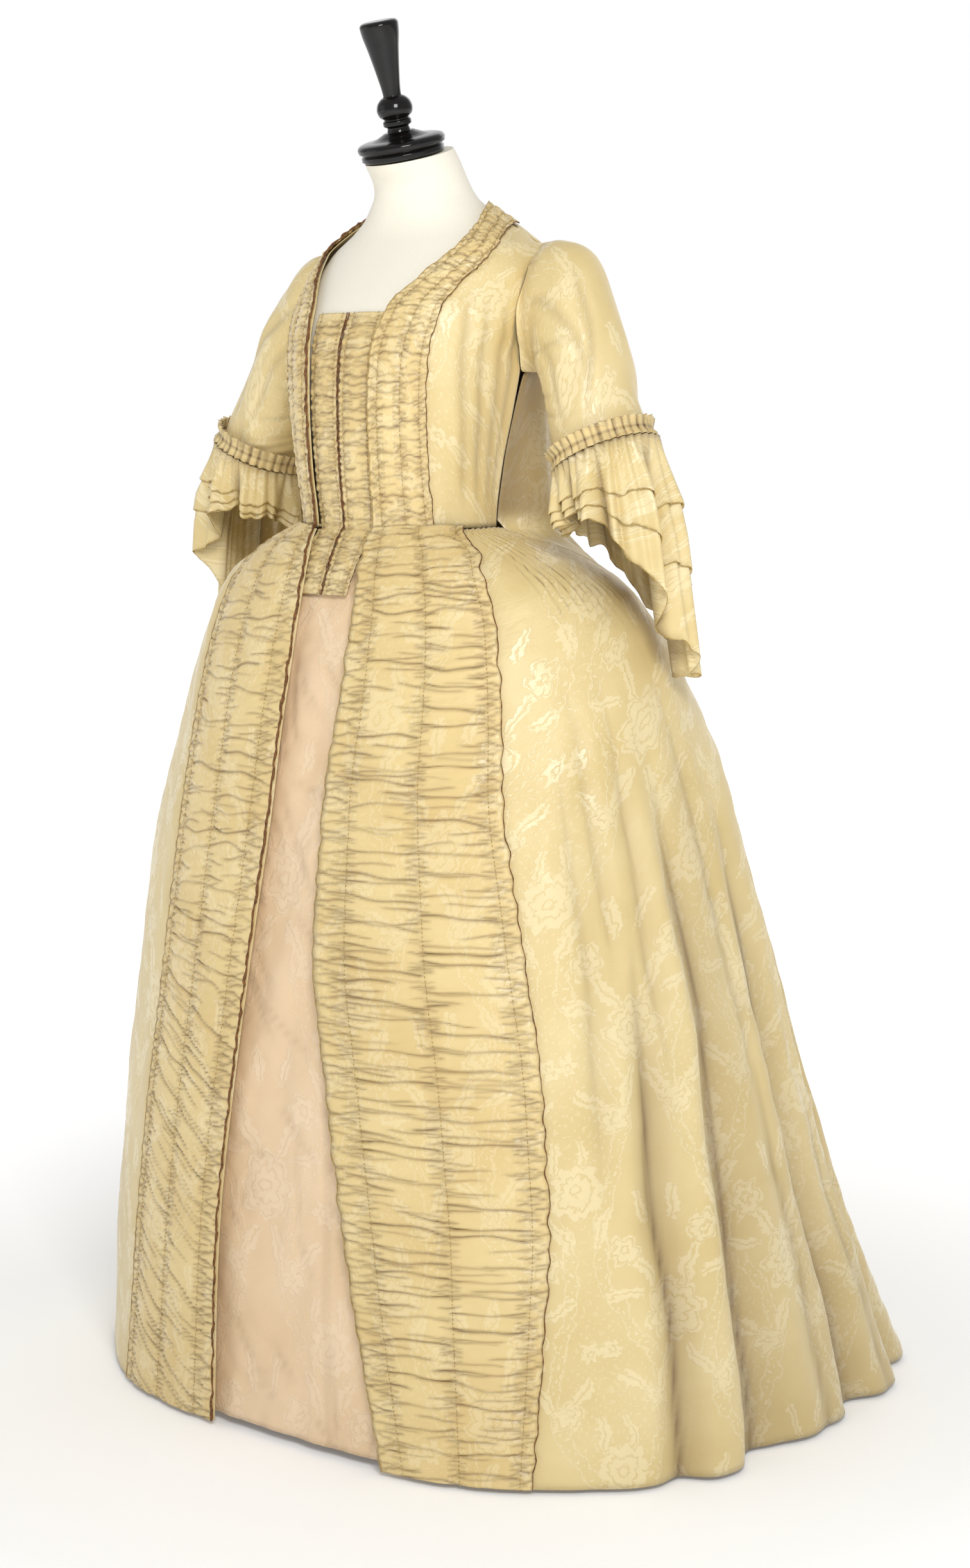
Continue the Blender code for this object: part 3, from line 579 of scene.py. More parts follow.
def makePlain(name, look):
    # one colour with fine grain: linen, ebonised wood, enamel, steel or thread
    finish = bpy.data.materials.new(name)
    finish.use_nodes = True
    tree = finish.node_tree
    shader = tree.nodes["Principled BSDF"]
    place = addNode(tree, "ShaderNodeTexCoord")
    stretched = addNode(tree, "ShaderNodeMapping", {"Vector": place.outputs["Object"],
                                                    "Scale": look["grain"]})
    grain = addNode(tree, "ShaderNodeTexNoise", {"Vector": stretched.outputs[0], "Scale": 1.0,
                                                 "Detail": 4.0})
    spread = remap(tree, grain.outputs[0], 0.3, 0.7)
    tint = mixed(tree, spread, colour(look["base"]), colour(look["other"]))
    worn = remap(tree, grain.outputs[0], to=(look["rough"] * 0.8, look["rough"] * 1.25))
    bump = addNode(tree, "ShaderNodeBump", {"Height": grain.outputs[0], "Strength": look["bump"],
                                            "Distance": 0.0005})
    tree.links.new(tint, shader.inputs["Base Color"])
    tree.links.new(worn.outputs[0], shader.inputs["Roughness"])
    tree.links.new(bump.outputs[0], shader.inputs["Normal"])
    shader.inputs["Metallic"].default_value = look["metal"]
    shader.inputs["Coat Weight"].default_value = look["coat"]
    shader.inputs["Specular IOR Level"].default_value = look["shine"]
    shader.inputs["Coat Roughness"].default_value = 0.04
    return finish


linenLook = {"base": "#EEE9DB", "other": "#E6E0D0", "grain": (900, 900, 1400), "rough": 0.8, "bump": 0.25,
             "metal": 0.0, "coat": 0.0, "shine": 0.4}
eboniseLook = {"base": "#0B0A0A", "other": "#141110", "grain": (120, 120, 12), "rough": 0.12, "bump": 0.02,
               "metal": 0.0, "coat": 0.0, "shine": 0.35}
# dark brown for cords along some edges; at the openings it paints the shade of the gaps as well
brownEdgeAndGapShadeLook = {"base": "#85572B", "other": "#4A3017", "grain": (300, 300, 300), "rough": 0.7, "bump": 0.5,
             "metal": 0.0, "coat": 0.0, "shine": 0.4}
threadLook = {"base": "#C2A765", "other": "#9A7C42", "grain": (500, 500, 500), "rough": 0.6, "bump": 0.2,
              "metal": 0.0, "coat": 0.0, "shine": 0.4}
steelLook = {"base": "#8D8E90", "other": "#A3A4A6", "grain": (60, 60, 900), "rough": 0.3, "bump": 0.1,
             "metal": 1.0, "coat": 0.0, "shine": 0.5}
enamelLook = {"base": "#101010", "other": "#1A1918", "grain": (700, 700, 700), "rough": 0.35, "bump": 0.4,
              "metal": 0.0, "coat": 0.3, "shine": 0.5}

figureTree = makeDamaskFigure(damask)
gownSilk = makeSilk("strawSilkDamaskWoven", silkLook, figureTree)
trimSilk = makeSilk("strawSilkDamaskRuched", trimLook, figureTree)
petticoatSilk = makeSilk("blushSilkDamaskWoven", petticoatLook, figureTree)
linen = makePlain("linenJerseyStretched", linenLook)
ebonised = makePlain("beechEbonisedPolished", eboniseLook)
brownEdgeAndGapShade = makePlain("silkEdgeBrownAndGapShade", brownEdgeAndGapShadeLook)
threadStraw = makePlain("silkThreadSewn", threadLook)
steel = makePlain("steelTubeBrushed", steelLook)
enamel = makePlain("ironEnamelled", enamelLook)
print("materials made")

def groove(x):
    # a sharp valley at 0 with a soft lip beside it
    return -np.exp(-np.abs(x) ** 1.25) + 0.38 * np.exp(-(np.abs(x) - 2.1) ** 2)


def addCreases(height, fold, s, share, zone, rng):
    # creases across a strip: s is the distance along each row, share the place of each column
    inside = np.flatnonzero((share >= zone["from"]) & (share <= zone["to"]))
    t = (share[inside] - zone["from"]) / (zone["to"] - zone["from"])
    at = s[0]
    flip = 1
    while at < s[-1]:
        at += zone["pitch"] * rng.uniform(0.35, 1.9)
        flip = -flip
        narrow = zone["narrow"] * rng.uniform(0.8, 1.3)
        lean = zone["lean"](at) if callable(zone["lean"]) else zone["lean"]
        lean = lean * (flip if zone.get("zigzag") else 1) + zone["pitch"] * rng.normal(0, 0.22)
        bow = zone["pitch"] * rng.normal(0, 0.16)
        start, end = 0.0, 1.0
        if rng.uniform() < zone["short"]:
            if rng.uniform() < 0.5:
                end = rng.uniform(0.25, 0.75)
            else:
                start = rng.uniform(0.25, 0.75)
        ripple = rng.uniform(0, 2 * math.pi)
        place = at + lean * (t - 0.5) + bow * np.sin(math.pi * t) + narrow * 0.5 * np.sin(9 * t + ripple)
        rows = np.flatnonzero(np.abs(s - at) < narrow * 5 + abs(lean) / 2 + abs(bow))
        fade = smooth((t - start + 0.06) / 0.14) * smooth((end + 0.06 - t) / 0.14)
        fade = fade * (1 - zone.get("middle", 0.0) * (1 - np.abs(2 * t - 1) ** 1.6) * rng.uniform(0.5, 1.0))
        x = (s[rows][:, None] - place[None, :]) / narrow
        depth = zone["depth"] * rng.uniform(0.5, 1.25)
        where = np.ix_(rows, inside)
        height[where] += depth * groove(x) * fade
        # painted shade along the bottom of each crease
        dark = np.exp(-np.abs(x * 1.25) ** 1.5) * fade * min(depth / zone["depth"], 1.0) * zone["dark"]
        fold[where] = np.maximum(fold[where], dark)


def addGatherLine(height, fold, share, width, at, depth, narrow=0.0028):
    off = (share - at) * width / narrow
    height -= depth * np.exp(-off * off)[None, :]
    # painted shade along the gather line
    fold += 0.16 * np.exp(-off * off)[None, :]


def ruched(s, share, width, settings, seed):
    # height of a gathered strip, with its gather lines, puffs and puckers, and painted shade in its creases
    # and along its gather lines
    rng = np.random.default_rng(seed)
    height = np.zeros((len(s), len(share)))
    fold = np.zeros_like(height)
    lines = settings["gathers"]
    for low, high in zip(lines, lines[1:]):
        main = {"from": low, "to": high, "pitch": settings["pitch"], "narrow": 0.0018,
                "lean": settings["lean"], "short": 0.22, "depth": settings["depth"], "dark": 1.0,
                "middle": 0.55}
        fine = dict(main, pitch=settings["pitch"] * 0.7, narrow=0.0016, short=1.0,
                    depth=settings["depth"] * 0.6, dark=0.6, middle=0.2)
        for zone in (main, fine):
            addCreases(height, fold, s, share, zone, rng)
        # the puff swells between its gather lines
        middle = np.clip((share - low) / (high - low), 0, 1)
        height += settings["puff"] * np.sin(math.pi * middle)[None, :] ** 0.6
    for at in lines:
        reach = 0.010 / width
        pucker = {"from": at - reach, "to": at + reach, "pitch": 0.0068, "narrow": 0.0016, "lean": 0.0,
                  "short": 0.0, "depth": 0.0011, "dark": 0.5}
        addCreases(height, fold, s, share, pucker, rng)
        addGatherLine(height, fold, share, width, at, 0.0008)
    for low, high in ((0.0, lines[0]), (lines[-1], 1.0)):
        frill = {"from": low, "to": high, "pitch": 0.0078, "narrow": 0.0018, "lean": settings["zigzag"],
                 "zigzag": True, "short": 0.1, "depth": 0.0018, "dark": 0.62}
        addCreases(height, fold, s, share, frill, rng)
    crimp = softNoise(s[:, None] + 0 * share, share[None, :] * width + 0 * s[:, None], 0.012, seed + 1)
    # no crease reaches the cloth underneath
    return np.maximum(height + 0.00035 * crimp, -settings["room"]), fold


def edgeWave(points, s, share, seed, reach):
    # the raw edges of a strip waver in and out
    across = np.gradient(points, axis=1)
    across /= np.linalg.norm(across, axis=-1, keepdims=True)
    wave = softNoise(s, 0 * s, 0.024, seed) * reach
    near = (1 - smooth(share / 0.06)) + (1 - smooth((1 - share) / 0.06))
    return points + across * (wave[:, None] * near[None, :])[..., None]


bodiceFront = {
    "rows": 90, "columns": 64, "underTrim": 12, "wall": 0.0007, "turning": 0.012, "lift": 0.0004,
    "tuck": 0.0030,
    "underSleeve": 6.0, "overShoulder": 9.0,     # degrees that the cloth runs on, out of sight
    "drags": table("start slope depth width", [
        (1.30, 0.35, 0.0016, 0.055),
        (1.52, 0.30, 0.0022, 0.050),
        (1.74, 0.16, 0.0018, 0.045),
        (1.88, 0.05, 0.0020, 0.040),
    ]),
}


def bodiceGrid(side, share, t):
    # share runs from the neck edge 0 over the robing's outer edge 1 to the side seam 2
    share, t = np.meshgrid(share, t)
    inner, outer = np.clip(share, 0, 1), np.clip(share - 1, 0, 1)
    parts = []
    for name in ("Angle", "Z"):
        neck, trim, edge = (between(bodiceLines, place + name, t) for place in ("neck", "trim", "edge"))
        if name == "Angle":
            # the cloth runs on under the sleeve's seam
            armholeZ = between(bodiceLines, "edgeZ", t)
            edge = edge + bodiceFront["underSleeve"] * smooth((armholeZ - 1.275) / 0.03)
        parts.append(neck + (trim - neck) * inner + (edge - trim) * outer)
    # and over the top of the shoulder under the sack back
    parts[0] += bodiceFront["overShoulder"] * smooth((t - 0.9) / 0.1)
    return facing(onBodice(side * np.radians(parts[0]), parts[1]), side)


def acrossPanel(underTrim, columns):
    # places across a panel: from 0 to 1 under its robing, from 1 to 2 beyond it
    return np.concatenate([np.linspace(0, 1, underTrim, endpoint=False),
                           np.linspace(1, 2, columns - underTrim)])


def alongRows(points):
    middle = points[:, points.shape[1] // 2]
    return np.concatenate([[0], np.cumsum(np.linalg.norm(np.diff(middle, axis=0), axis=-1))])


bodiceRobing = {
    "rows": 300, "columns": 32, "wall": 0.0006, "lift": 0.0044, "room": 0.0028, "width": 0.088,
    "gathers": (0.16, 0.55, 0.88), "pitch": 0.0150, "depth": 0.0020, "puff": 0.0012,
    "lean": 0.0, "zigzag": 0.006, "seed": 400, "waver": 0.0008, "waverSeed": 5,
    "fullLong": 1.4, "turning": 0.004,
}


def makeBodiceFront(side, word):
    settings = bodiceFront
    share = acrossPanel(settings["underTrim"], settings["columns"])
    t = np.linspace(1, 0, settings["rows"])
    points = smoothGrid = bodiceGrid(side, share, t)
    shares, ts = np.meshgrid(share, t)
    free = smooth((shares - 1.02) / 0.15)
    # soft drag lines from the armhole down to the waist, with painted shade along them, and slack under the
    # arm
    drag = np.zeros_like(shares)
    dark = np.zeros_like(shares)
    for start, slope, depth, width in zip(*settings["drags"].values()):
        off = (shares - start - slope * (0.45 - ts)) / width
        along = smooth(ts / 0.12) * smooth((0.60 - ts) / 0.2)
        drag -= depth * np.exp(-off * off) * along
        dark = np.maximum(dark, 0.22 * np.exp(-off * off) * along)
    slack = 0.0012 * softNoise(shares * 0.1, ts * 0.42, 0.07, 31 + side)
    # tucked down where it runs under the sleeve and the sack back
    armholeZ = between(bodiceLines, "edgeZ", ts)
    tucked = smooth((shares - 1.84) / 0.12) * smooth((armholeZ - 1.262) / 0.02) + smooth((ts - 0.90) / 0.06)
    height = (drag + slack) * free + settings["lift"] - settings["tuck"] * np.minimum(tucked, 1.0)
    points = pushed(points, facing(height, side))
    piece = clothPiece(f"bodice_front_{word}_cloth", points, gownSilk, settings["wall"],
                       fold=facing(dark * free, side))
    hold(piece, "gown_silk", f"bodice_front_{word}")


def robingPaths(points, share, settings, side):
    # lines along a robing for stitches and for its two edges, just proud of the cloth
    grid = facing(pushed(points, settings["wall"] + 0.0005), side)
    lines = {"gathers": [grid[:, int(np.argmin(np.abs(share - at)))] for at in settings["gathers"]]}
    lines["inner"] = grid[:, 0]
    lines["outer"] = grid[:, -1]
    return lines


def makeRuched(node, smoothGrid, share, settings, side, word):
    # gathers a smooth strip into a ruched piece, and returns its lines
    s = alongRows(smoothGrid)
    height, fold = ruched(s, share, settings["width"], settings, settings["seed"] + side)
    points = pushed(smoothGrid, facing(height, side))
    if settings["waver"]:
        points = edgeWave(points, s, share, settings["waverSeed"] + side, settings["waver"])
    points[..., 2] = np.maximum(points[..., 2], lowestZ)
    piece = clothPiece(f"{node}_{word}_ruched", points, trimSilk, settings["wall"], uv=cutMap(smoothGrid),
                       fold=facing(fold, side))
    hold(piece, "trim_silk", f"{node}_{word}")
    return robingPaths(points, share, settings, side)


def makeBodiceRobing(side, word):
    settings = bodiceRobing
    share = np.linspace(0, 1, settings["columns"])
    t = np.linspace(1, 0, settings["rows"])
    smoothGrid = pushed(bodiceGrid(side, share, t), settings["lift"])
    return makeRuched("bodice_robing", smoothGrid, share, settings, side, word)


compere = {
    "rows": 180, "columns": 26, "wall": 0.0006, "lift": -0.0032, "room": 0.0014,
    "pointWidth": 0.033, "width": 0.045, "centre": 0.0007,
    "gathers": (0.12, 0.86), "pitch": 0.0085, "depth": 0.0011, "puff": 0.0009,
    "lean": 0.0, "zigzag": 0.0, "seed": 440, "waver": 0.0,
    "fullLong": 1.4, "turning": 0.004,
}


def makeCompere(side, word):
    settings = compere
    low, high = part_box(f"compere_{word}")
    share = np.linspace(0, 1, settings["columns"])
    heights = np.linspace(high[2] + 0.001, low[2] + 0.001, settings["rows"])
    t = (heights - heights[-1]) / (heights[0] - heights[-1])
    outer = settings["pointWidth"] + (settings["width"] - settings["pointWidth"]) * smooth(t * 3)
    x = settings["centre"] + (outer[:, None] - settings["centre"]) * share[None, :]
    z = heights[:, None] + 0 * x
    above = z >= waistZ
    half = np.where(above, *(read(rows, "z", "halfWidth", z) for rows in (bodiceSections, skirtSections)))
    angle = side * np.arcsin(x / half)
    points = np.where(above[..., None], onBodice(angle, z), onPlainSkirt(angle, z))
    smoothGrid = pushed(facing(points, side), settings["lift"])
    return makeRuched("compere", smoothGrid, share, settings, side, word)


def angleAt(x, z):
    half = read(skirtSections, "z", "halfWidth", z)
    square = read(skirtSections, "z", "square", z)
    share = np.minimum(np.abs(x) / half, 1.0)
    return np.arcsin(share ** (square / 2))


def seamAngle(z, side=1):
    # the seam beside the sack back: its own edge, or with side -1 the skirt's
    angle = np.radians(read(sackLines, "seamZ", "seamAngle", z))
    point = np.where((z > waistZ)[..., None], onBodice(angle, z), onSkirt(angle, z))
    clear = gap + 0.0007 * smooth((z - 0.90) / 0.10)
    return angle + side * clear / np.linalg.norm(point[..., :2], axis=-1)


def skirtAngles(side, share, z):
    name = "left" if side > 0 else "right"
    inner = angleAt(read(frontEdges, "z", name + "Inner", z), z)
    outer = angleAt(read(frontEdges, "z", name + "Outer", z), z)
    seam = seamAngle(z, -1)
    return inner + (outer - inner) * np.clip(share, 0, 1) + (seam - outer) * np.clip(share - 1, 0, 1)


def skirtHeights(count, closer=1.25):
    return skirtTopZ - (skirtTopZ - hemZ) * np.linspace(0, 1, count) ** closer


skirtSide = {
    "rows": 132, "columns": 124, "underTrim": 14, "wall": 0.0008, "clear": 0.007,
    # long sharp valleys: angle at the top and at the hem, heights, depth and width in degrees
    "valleys": table("top hem startZ endZ depth width", [
        (70.0, 71.5, 0.66, 0.0, 0.012, 2.4),
        (84.0, 87.5, 0.86, 0.0, 0.019, 2.6),
        (94.0, 96.0, 0.55, 0.0, 0.007, 2.0),
        (101.0, 104.0, 0.80, 0.0, 0.018, 2.7),
        (110.0, 112.0, 0.50, 0.0, 0.006, 1.8),
        (117.0, 119.5, 0.80, 0.0, 0.018, 2.4),
        (58.0, 61.0, 0.90, 0.30, 0.0045, 2.4),
        (64.0, 66.0, 0.96, 0.52, 0.0050, 2.3),
        (73.0, 77.0, 0.97, 0.40, 0.0055, 2.4),
        (92.0, 94.0, 0.98, 0.35, 0.0050, 2.4),
        (127.0, 133.0, 0.80, 0.0, 0.0120, 2.6),
    ]),
    "pleatsFrom": 62.0, "pleatsTo": 116.0, "pleats": 15, "pleatDepth": 0.0018, "turning": 0.012,
}


def makeSkirtSide(side, word):
    settings = skirtSide
    share = acrossPanel(settings["underTrim"], settings["columns"])
    z = skirtHeights(settings["rows"])
    share, z = np.meshgrid(share, z)
    angle = skirtAngles(side, share, z)
    points = smoothGrid = facing(onSkirt(side * angle, z), side)
    degrees = np.degrees(angle)
    free = smooth((share - 1.01) / 0.06) * smooth((1.995 - share) / 0.04)
    height = np.zeros_like(z)
    dark = np.zeros_like(z)
    for top, hem, startZ, endZ, depth, width in zip(*settings["valleys"].values()):
        down = np.clip((startZ - z) / startZ, 0, 1)
        wander = 0.5 * np.sin(z * 11 + top) + 0.25 * np.sin(z * 27 + hem)
        off = (degrees - top - (hem - top) * down - wander) / width
        along = smooth((startZ - z) / 0.25) * smooth((z - endZ + 0.01) / (0.2 if endZ else 0.02))
        height += depth * along * groove(off)
        # painted shade along each valley and on the slope beside it
        weight = along * min(depth / 0.012, 1)
        line = 0.62 * np.exp(-np.abs(off * 2.6) ** 1.2) + 0.26 * np.exp(-((off - 0.9) / 1.4) ** 2)
        dark = np.maximum(dark, line * weight)
    # flat pleats folded in under the bodice at the hip, opening out below
    phase = (degrees - settings["pleatsFrom"]) / (settings["pleatsTo"] - settings["pleatsFrom"])
    tread = (phase * settings["pleats"]) % 1.0
    pleated = smooth(phase / 0.1) * smooth((1 - phase) / 0.1) * smooth((z - 0.955) / 0.09)
    height += settings["pleatDepth"] * pleated * (tread ** 1.5 - 0.5)
    # painted shade at the fold of each pleat
    dark = np.maximum(dark, 0.7 * pleated * smooth((tread - 0.9) / 0.08))
    u, v = cutMap(facing(points, side)).transpose(2, 0, 1)
    height += 0.0022 * softNoise(u, v * 0.55, 0.16, 51 + side) + 0.0006 * softNoise(u, v, 0.045, 61 + side)
    # the deepest valleys stop short of the petticoat
    height = np.maximum(height, -foldsAt(angle, z) - settings["clear"])
    height *= free
    uv = cutMap(points)
    if side < 0:
        uv[..., 0] -= uv[:, -1:, 0]
    points = pushed(points, facing(height + 0.0002, side))
    points[..., 2] = np.maximum(points[..., 2], lowestZ)
    piece = clothPiece(f"skirt_{word}_cloth", points, gownSilk, settings["wall"], uv=uv,
                       fold=facing(dark * free, side))
    hold(piece, "gown_silk", f"skirt_{word}")


skirtRobing = {
    "rows": 700, "columns": 36, "wall": 0.0006, "lift": 0.0050, "room": 0.0034, "width": 0.19,
    "gathers": (0.13, 0.50, 0.90), "pitch": 0.0175, "depth": 0.0026, "puff": 0.0018, "zigzag": 0.007,
    "lean": 0.0, "rightSlant": 0.045, "rightPitch": 0.023, "seed": 470, "waver": 0.0013, "waverSeed": 15,
    "fullLong": 1.4, "turning": 0.004,
}


def makeSkirtRobing(side, word):
    settings = dict(skirtRobing)
    if side < 0:
        # creases on the wearer's right lie further apart, and slant down to the opening near the hem
        settings["lean"] = lambda at: -settings["rightSlant"] * float(smooth((at - 0.45) / 0.3))
        settings["pitch"] = settings["rightPitch"]
    share = np.linspace(0, 1, settings["columns"])
    z = skirtHeights(settings["rows"], 1.0) + 0.0005
    shares, zs = np.meshgrid(share, z)
    points = facing(onSkirt(side * skirtAngles(side, shares, zs), zs), side)
    smoothGrid = pushed(points, settings["lift"])
    return makeRuched("skirt_robing", smoothGrid, share, settings, side, word)


sackBack = {
    "rowsAbove": 50, "rowsBelow": 104, "columns": 67, "wall": 0.0008, "square": 0.83, "pleats": 3,
    "turning": 0.012,
}


def makeSack():
    settings = sackBack
    above = np.linspace(sackTopZ, waistZ + 0.008, settings["rowsAbove"])
    seamZ = np.concatenate([above, skirtHeights(settings["rowsBelow"])])
    u, seamZ = np.meshgrid(np.linspace(0, 1, settings["columns"]), seamZ)
    edge = seamAngle(seamZ)
    centreZ, climb, half, depth, loose, pleat = (
        read(sackLines, "seamZ", name, seamZ)
        for name in ("centreZ", "climb", "half", "depth", "loose", "pleat")
    )
    z = seamZ + (centreZ - seamZ) * smooth(u / climb)
    angle = edge + (math.pi - edge) * u
    upper = (seamZ > waistZ)[..., None]
    fitted = np.where(upper, onBodice(angle, z), onSkirt(angle, z))
    seam = np.where(upper, onBodice(edge, seamZ), onSkirt(edge, seamZ))
    turn = u * math.pi / 2
    wide = seam[..., 0] + (half - seam[..., 0]) * smooth(u * 5)
    x = wide * np.cos(turn) ** settings["square"]
    y = seam[..., 1] + (depth - seam[..., 1]) * np.sin(turn) ** settings["square"]
    hanging = np.stack([x, y, z], -1)
    points = fitted + (hanging - fitted) * loose[..., None]
    # box pleats: flat treads with steep sides
    swell = np.sin(settings["pleats"] * math.pi * u) ** 2
    boxed = swell * 0.35 + 0.65 * smooth((swell - 0.22) / 0.4)
    stand = pleat * boxed * smooth(u * 4)
    points = points + np.stack([np.sin(angle) * 0.35, -np.cos(angle), 0 * u], -1) * stand[..., None]
    # painted shade on the steep sides and in the valleys of the pleats
    side = np.exp(-((swell - 0.30) / 0.16) ** 2) * smooth(u * 4)
    valley = np.exp(-(swell / 0.10) ** 1.0) * smooth(u * 4) * smooth((0.97 - u) / 0.03)
    dark = 0.16 * side + 0.45 * valley
    # the pleats beside the bodice are turned inwards, and are darkened with painted shade
    tucked = smooth((0.34 - u) / 0.3) * smooth((seamZ - 1.075) / 0.03) * smooth((1.34 - seamZ) / 0.06)
    dark = np.maximum(dark, 0.62 * tucked)
    uHalf, vHalf = cutMap(points).transpose(2, 0, 1)
    whole = np.concatenate([points, (points * np.array([-1.0, 1.0, 1.0]))[:, -2::-1]], 1)
    shade = np.concatenate([dark, dark[:, -2::-1]], 1)
    flatU = np.concatenate([uHalf - uHalf[:, -1:], -(uHalf - uHalf[:, -1:])[:, -2::-1]], 1)
    uv = np.stack([flatU, np.concatenate([vHalf, vHalf[:, -2::-1]], 1)], -1)
    flatV = uv[..., 1]
    slack = 0.0016 * softNoise(flatU, flatV * 0.5, 0.15, 71) + 0.0005 * softNoise(flatU, flatV, 0.05, 72)
    rim = smooth(np.minimum(np.arange(whole.shape[1]), np.arange(whole.shape[1])[::-1]) / 6.0)
    whole = pushed(whole, slack * rim[None, :])
    whole[..., 2] = np.maximum(whole[..., 2], lowestZ)
    piece = clothPiece("sack_back_cloth", whole, gownSilk, settings["wall"], uv=uv, fold=shade)
    hold(piece, "gown_silk", "sack_back")


petticoat = {
    "rows": 150, "columns": 170, "wall": 0.0008, "drop": 0.012, "waistDrop": 0.007,
    "turning": 0.012, "creases": 90,
    "seams": (8.0, -38.0, 68.0),      # degrees, the first shows in the opening
}


def makePetticoat():
    settings = petticoat
    low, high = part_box("petticoat")
    step = np.linspace(0, 1, settings["rows"])
    z = (high[2] + 0.003) - (high[2] + 0.003 - low[2] - 0.004) * step ** 1.2
    # columns crowd towards the front, where the petticoat shows
    turn = np.linspace(-1, 1, settings["columns"])
    angles = math.pi * (0.3 * turn + 0.7 * turn ** 3)
    angle, zs = np.meshgrid(angles, z)
    below = smooth(np.linspace(0, 1, len(z)) * 3)
    inset = settings["waistDrop"] + (settings["drop"] - settings["waistDrop"]) * below
    points = smoothGrid = pushed(onPlainSkirt(angle, zs), -inset[:, None], ring=True)
    uv = cutMap(points)
    uv[..., 0] -= uv[:, settings["columns"] // 2, 0][:, None]
    u, v = uv[..., 0], uv[..., 1]
    height = 0.0016 * softNoise(u, v * 0.7, 0.09, 81) + 0.0007 * softNoise(u, v, 0.03, 82)
    dark = np.zeros_like(u)
    rng = np.random.default_rng(83)
    # creases pressed in by the front edges, fanning out from the opening
    for _ in range(settings["creases"]):
        startU, startV = rng.uniform(-0.14, 0.24), -rng.uniform(0.12, 1.05)
        heading = rng.normal(-1.15, 0.42)
        length = rng.uniform(0.04, 0.15)
        du, dv = u - startU, v - startV
        ahead = du * math.cos(heading) + dv * math.sin(heading)
        aside = -du * math.sin(heading) + dv * math.cos(heading) - 0.9 * ahead * ahead
        along = smooth(ahead / 0.02) * smooth((length - ahead) / 0.04)
        line = groove(aside / 0.0045) * along
        height += 0.0015 * line
        # painted shade along each crease
        dark = np.maximum(dark, 0.36 * np.exp(-np.abs(aside / 0.0036) ** 1.4) * along)
    for degrees in settings["seams"]:
        off = (np.degrees(angle) - degrees) / 0.45
        height -= 0.0010 * np.exp(-off * off)
        dark = np.maximum(dark, 0.35 * np.exp(-off * off))
    height -= 0.0006 * np.exp(-((v - v[-1:] - 0.02) / 0.0025) ** 2)      # the hem's line of stitches
    height *= smooth((np.arange(len(z))[:, None]) / 4.0)
    points = pushed(points, height - 0.0004, ring=True)
    points[:, -1] = points[:, 0]
    points[..., 2] = np.maximum(points[..., 2], low[2] * 0.6)
    piece = clothPiece("petticoat_cloth", points, petticoatSilk, settings["wall"], ring=True, uv=uv,
                       fold=dark, inward=True)
    hold(piece, "petticoat_silk", "petticoat")


armhole = table("angle z", [
    (98.0, 1.2640), (90.0, 1.2950), (84.0, 1.3280), (82.0, 1.3600), (83.5, 1.3860),
    (91.0, 1.4030), (103.0, 1.4120), (112.0, 1.3960), (115.5, 1.3600), (114.0, 1.3180),
    (106.0, 1.2780),
])
# Each ring of the sleeve lies between its point under the arm and its point on the outer side.
sleeveRings = table("underX underZ overX overZ y depth", [
    (0.1640, 1.262, 0.188, 1.416, 0.034, 0.056),
    (0.1690, 1.268, 0.226, 1.399, 0.030, 0.056),
    (0.1790, 1.252, 0.266, 1.338, 0.020, 0.056),
    (0.1960, 1.222, 0.291, 1.276, 0.012, 0.056),
    (0.2120, 1.182, 0.312, 1.228, 0.005, 0.055),
    (0.2320, 1.143, 0.330, 1.187, -0.001, 0.054),
])
sleeve = {
    "rows": 84, "columns": 97, "wall": 0.0007, "armholeLift": 0.0020, "turning": 0.012,
    "pleats": 9, "pleatStep": 0.032, "bendCreases": 7,
    # drag lines: place round the arm at the top, slant, ends along the arm, depth
    "drags": table("at slant top bottom depth", [
        (0.30, 0.22, 0.12, 0.75, 0.0022),
        (0.20, 0.10, 0.35, 0.90, 0.0020),
        (0.42, -0.16, 0.30, 0.92, 0.0018),
        (0.62, 0.14, 0.20, 0.80, 0.0020),
        (0.78, -0.12, 0.30, 0.95, 0.0022),
        (0.08, 0.12, 0.25, 0.80, 0.0024),
    ]),
}


def throughFour(before, start, end, after, t):
    return 0.5 * (2 * start + (end - before) * t + (2 * before - 5 * start + 4 * end - after) * t * t
                  + (3 * start - before - 3 * end + after) * t ** 3)


def armholeRing(share):
    place = share * len(armhole["z"])
    i = place.astype(int)
    t = place - i
    values = []
    for name in ("angle", "z"):
        values.append(throughFour(*(np.take(armhole[name], i + k, mode="wrap") for k in (-1, 0, 1, 2)), t))
    angle, z = np.radians(values[0]), values[1]
    small = 0.01
    across = onBodice(angle + small, z) - onBodice(angle - small, z)
    up = onBodice(angle, z + small / 4) - onBodice(angle, z - small / 4)
    normal = np.cross(across, up)
    normal /= np.linalg.norm(normal, axis=-1, keepdims=True)
    return onBodice(angle, z) + normal * sleeve["armholeLift"]


def ringAcross(centre, under, depth, share):
    turn = 2 * math.pi * share[:, None]
    return centre + under * np.cos(turn) + forward * np.sin(turn) * np.asarray(depth).reshape(-1, 1)


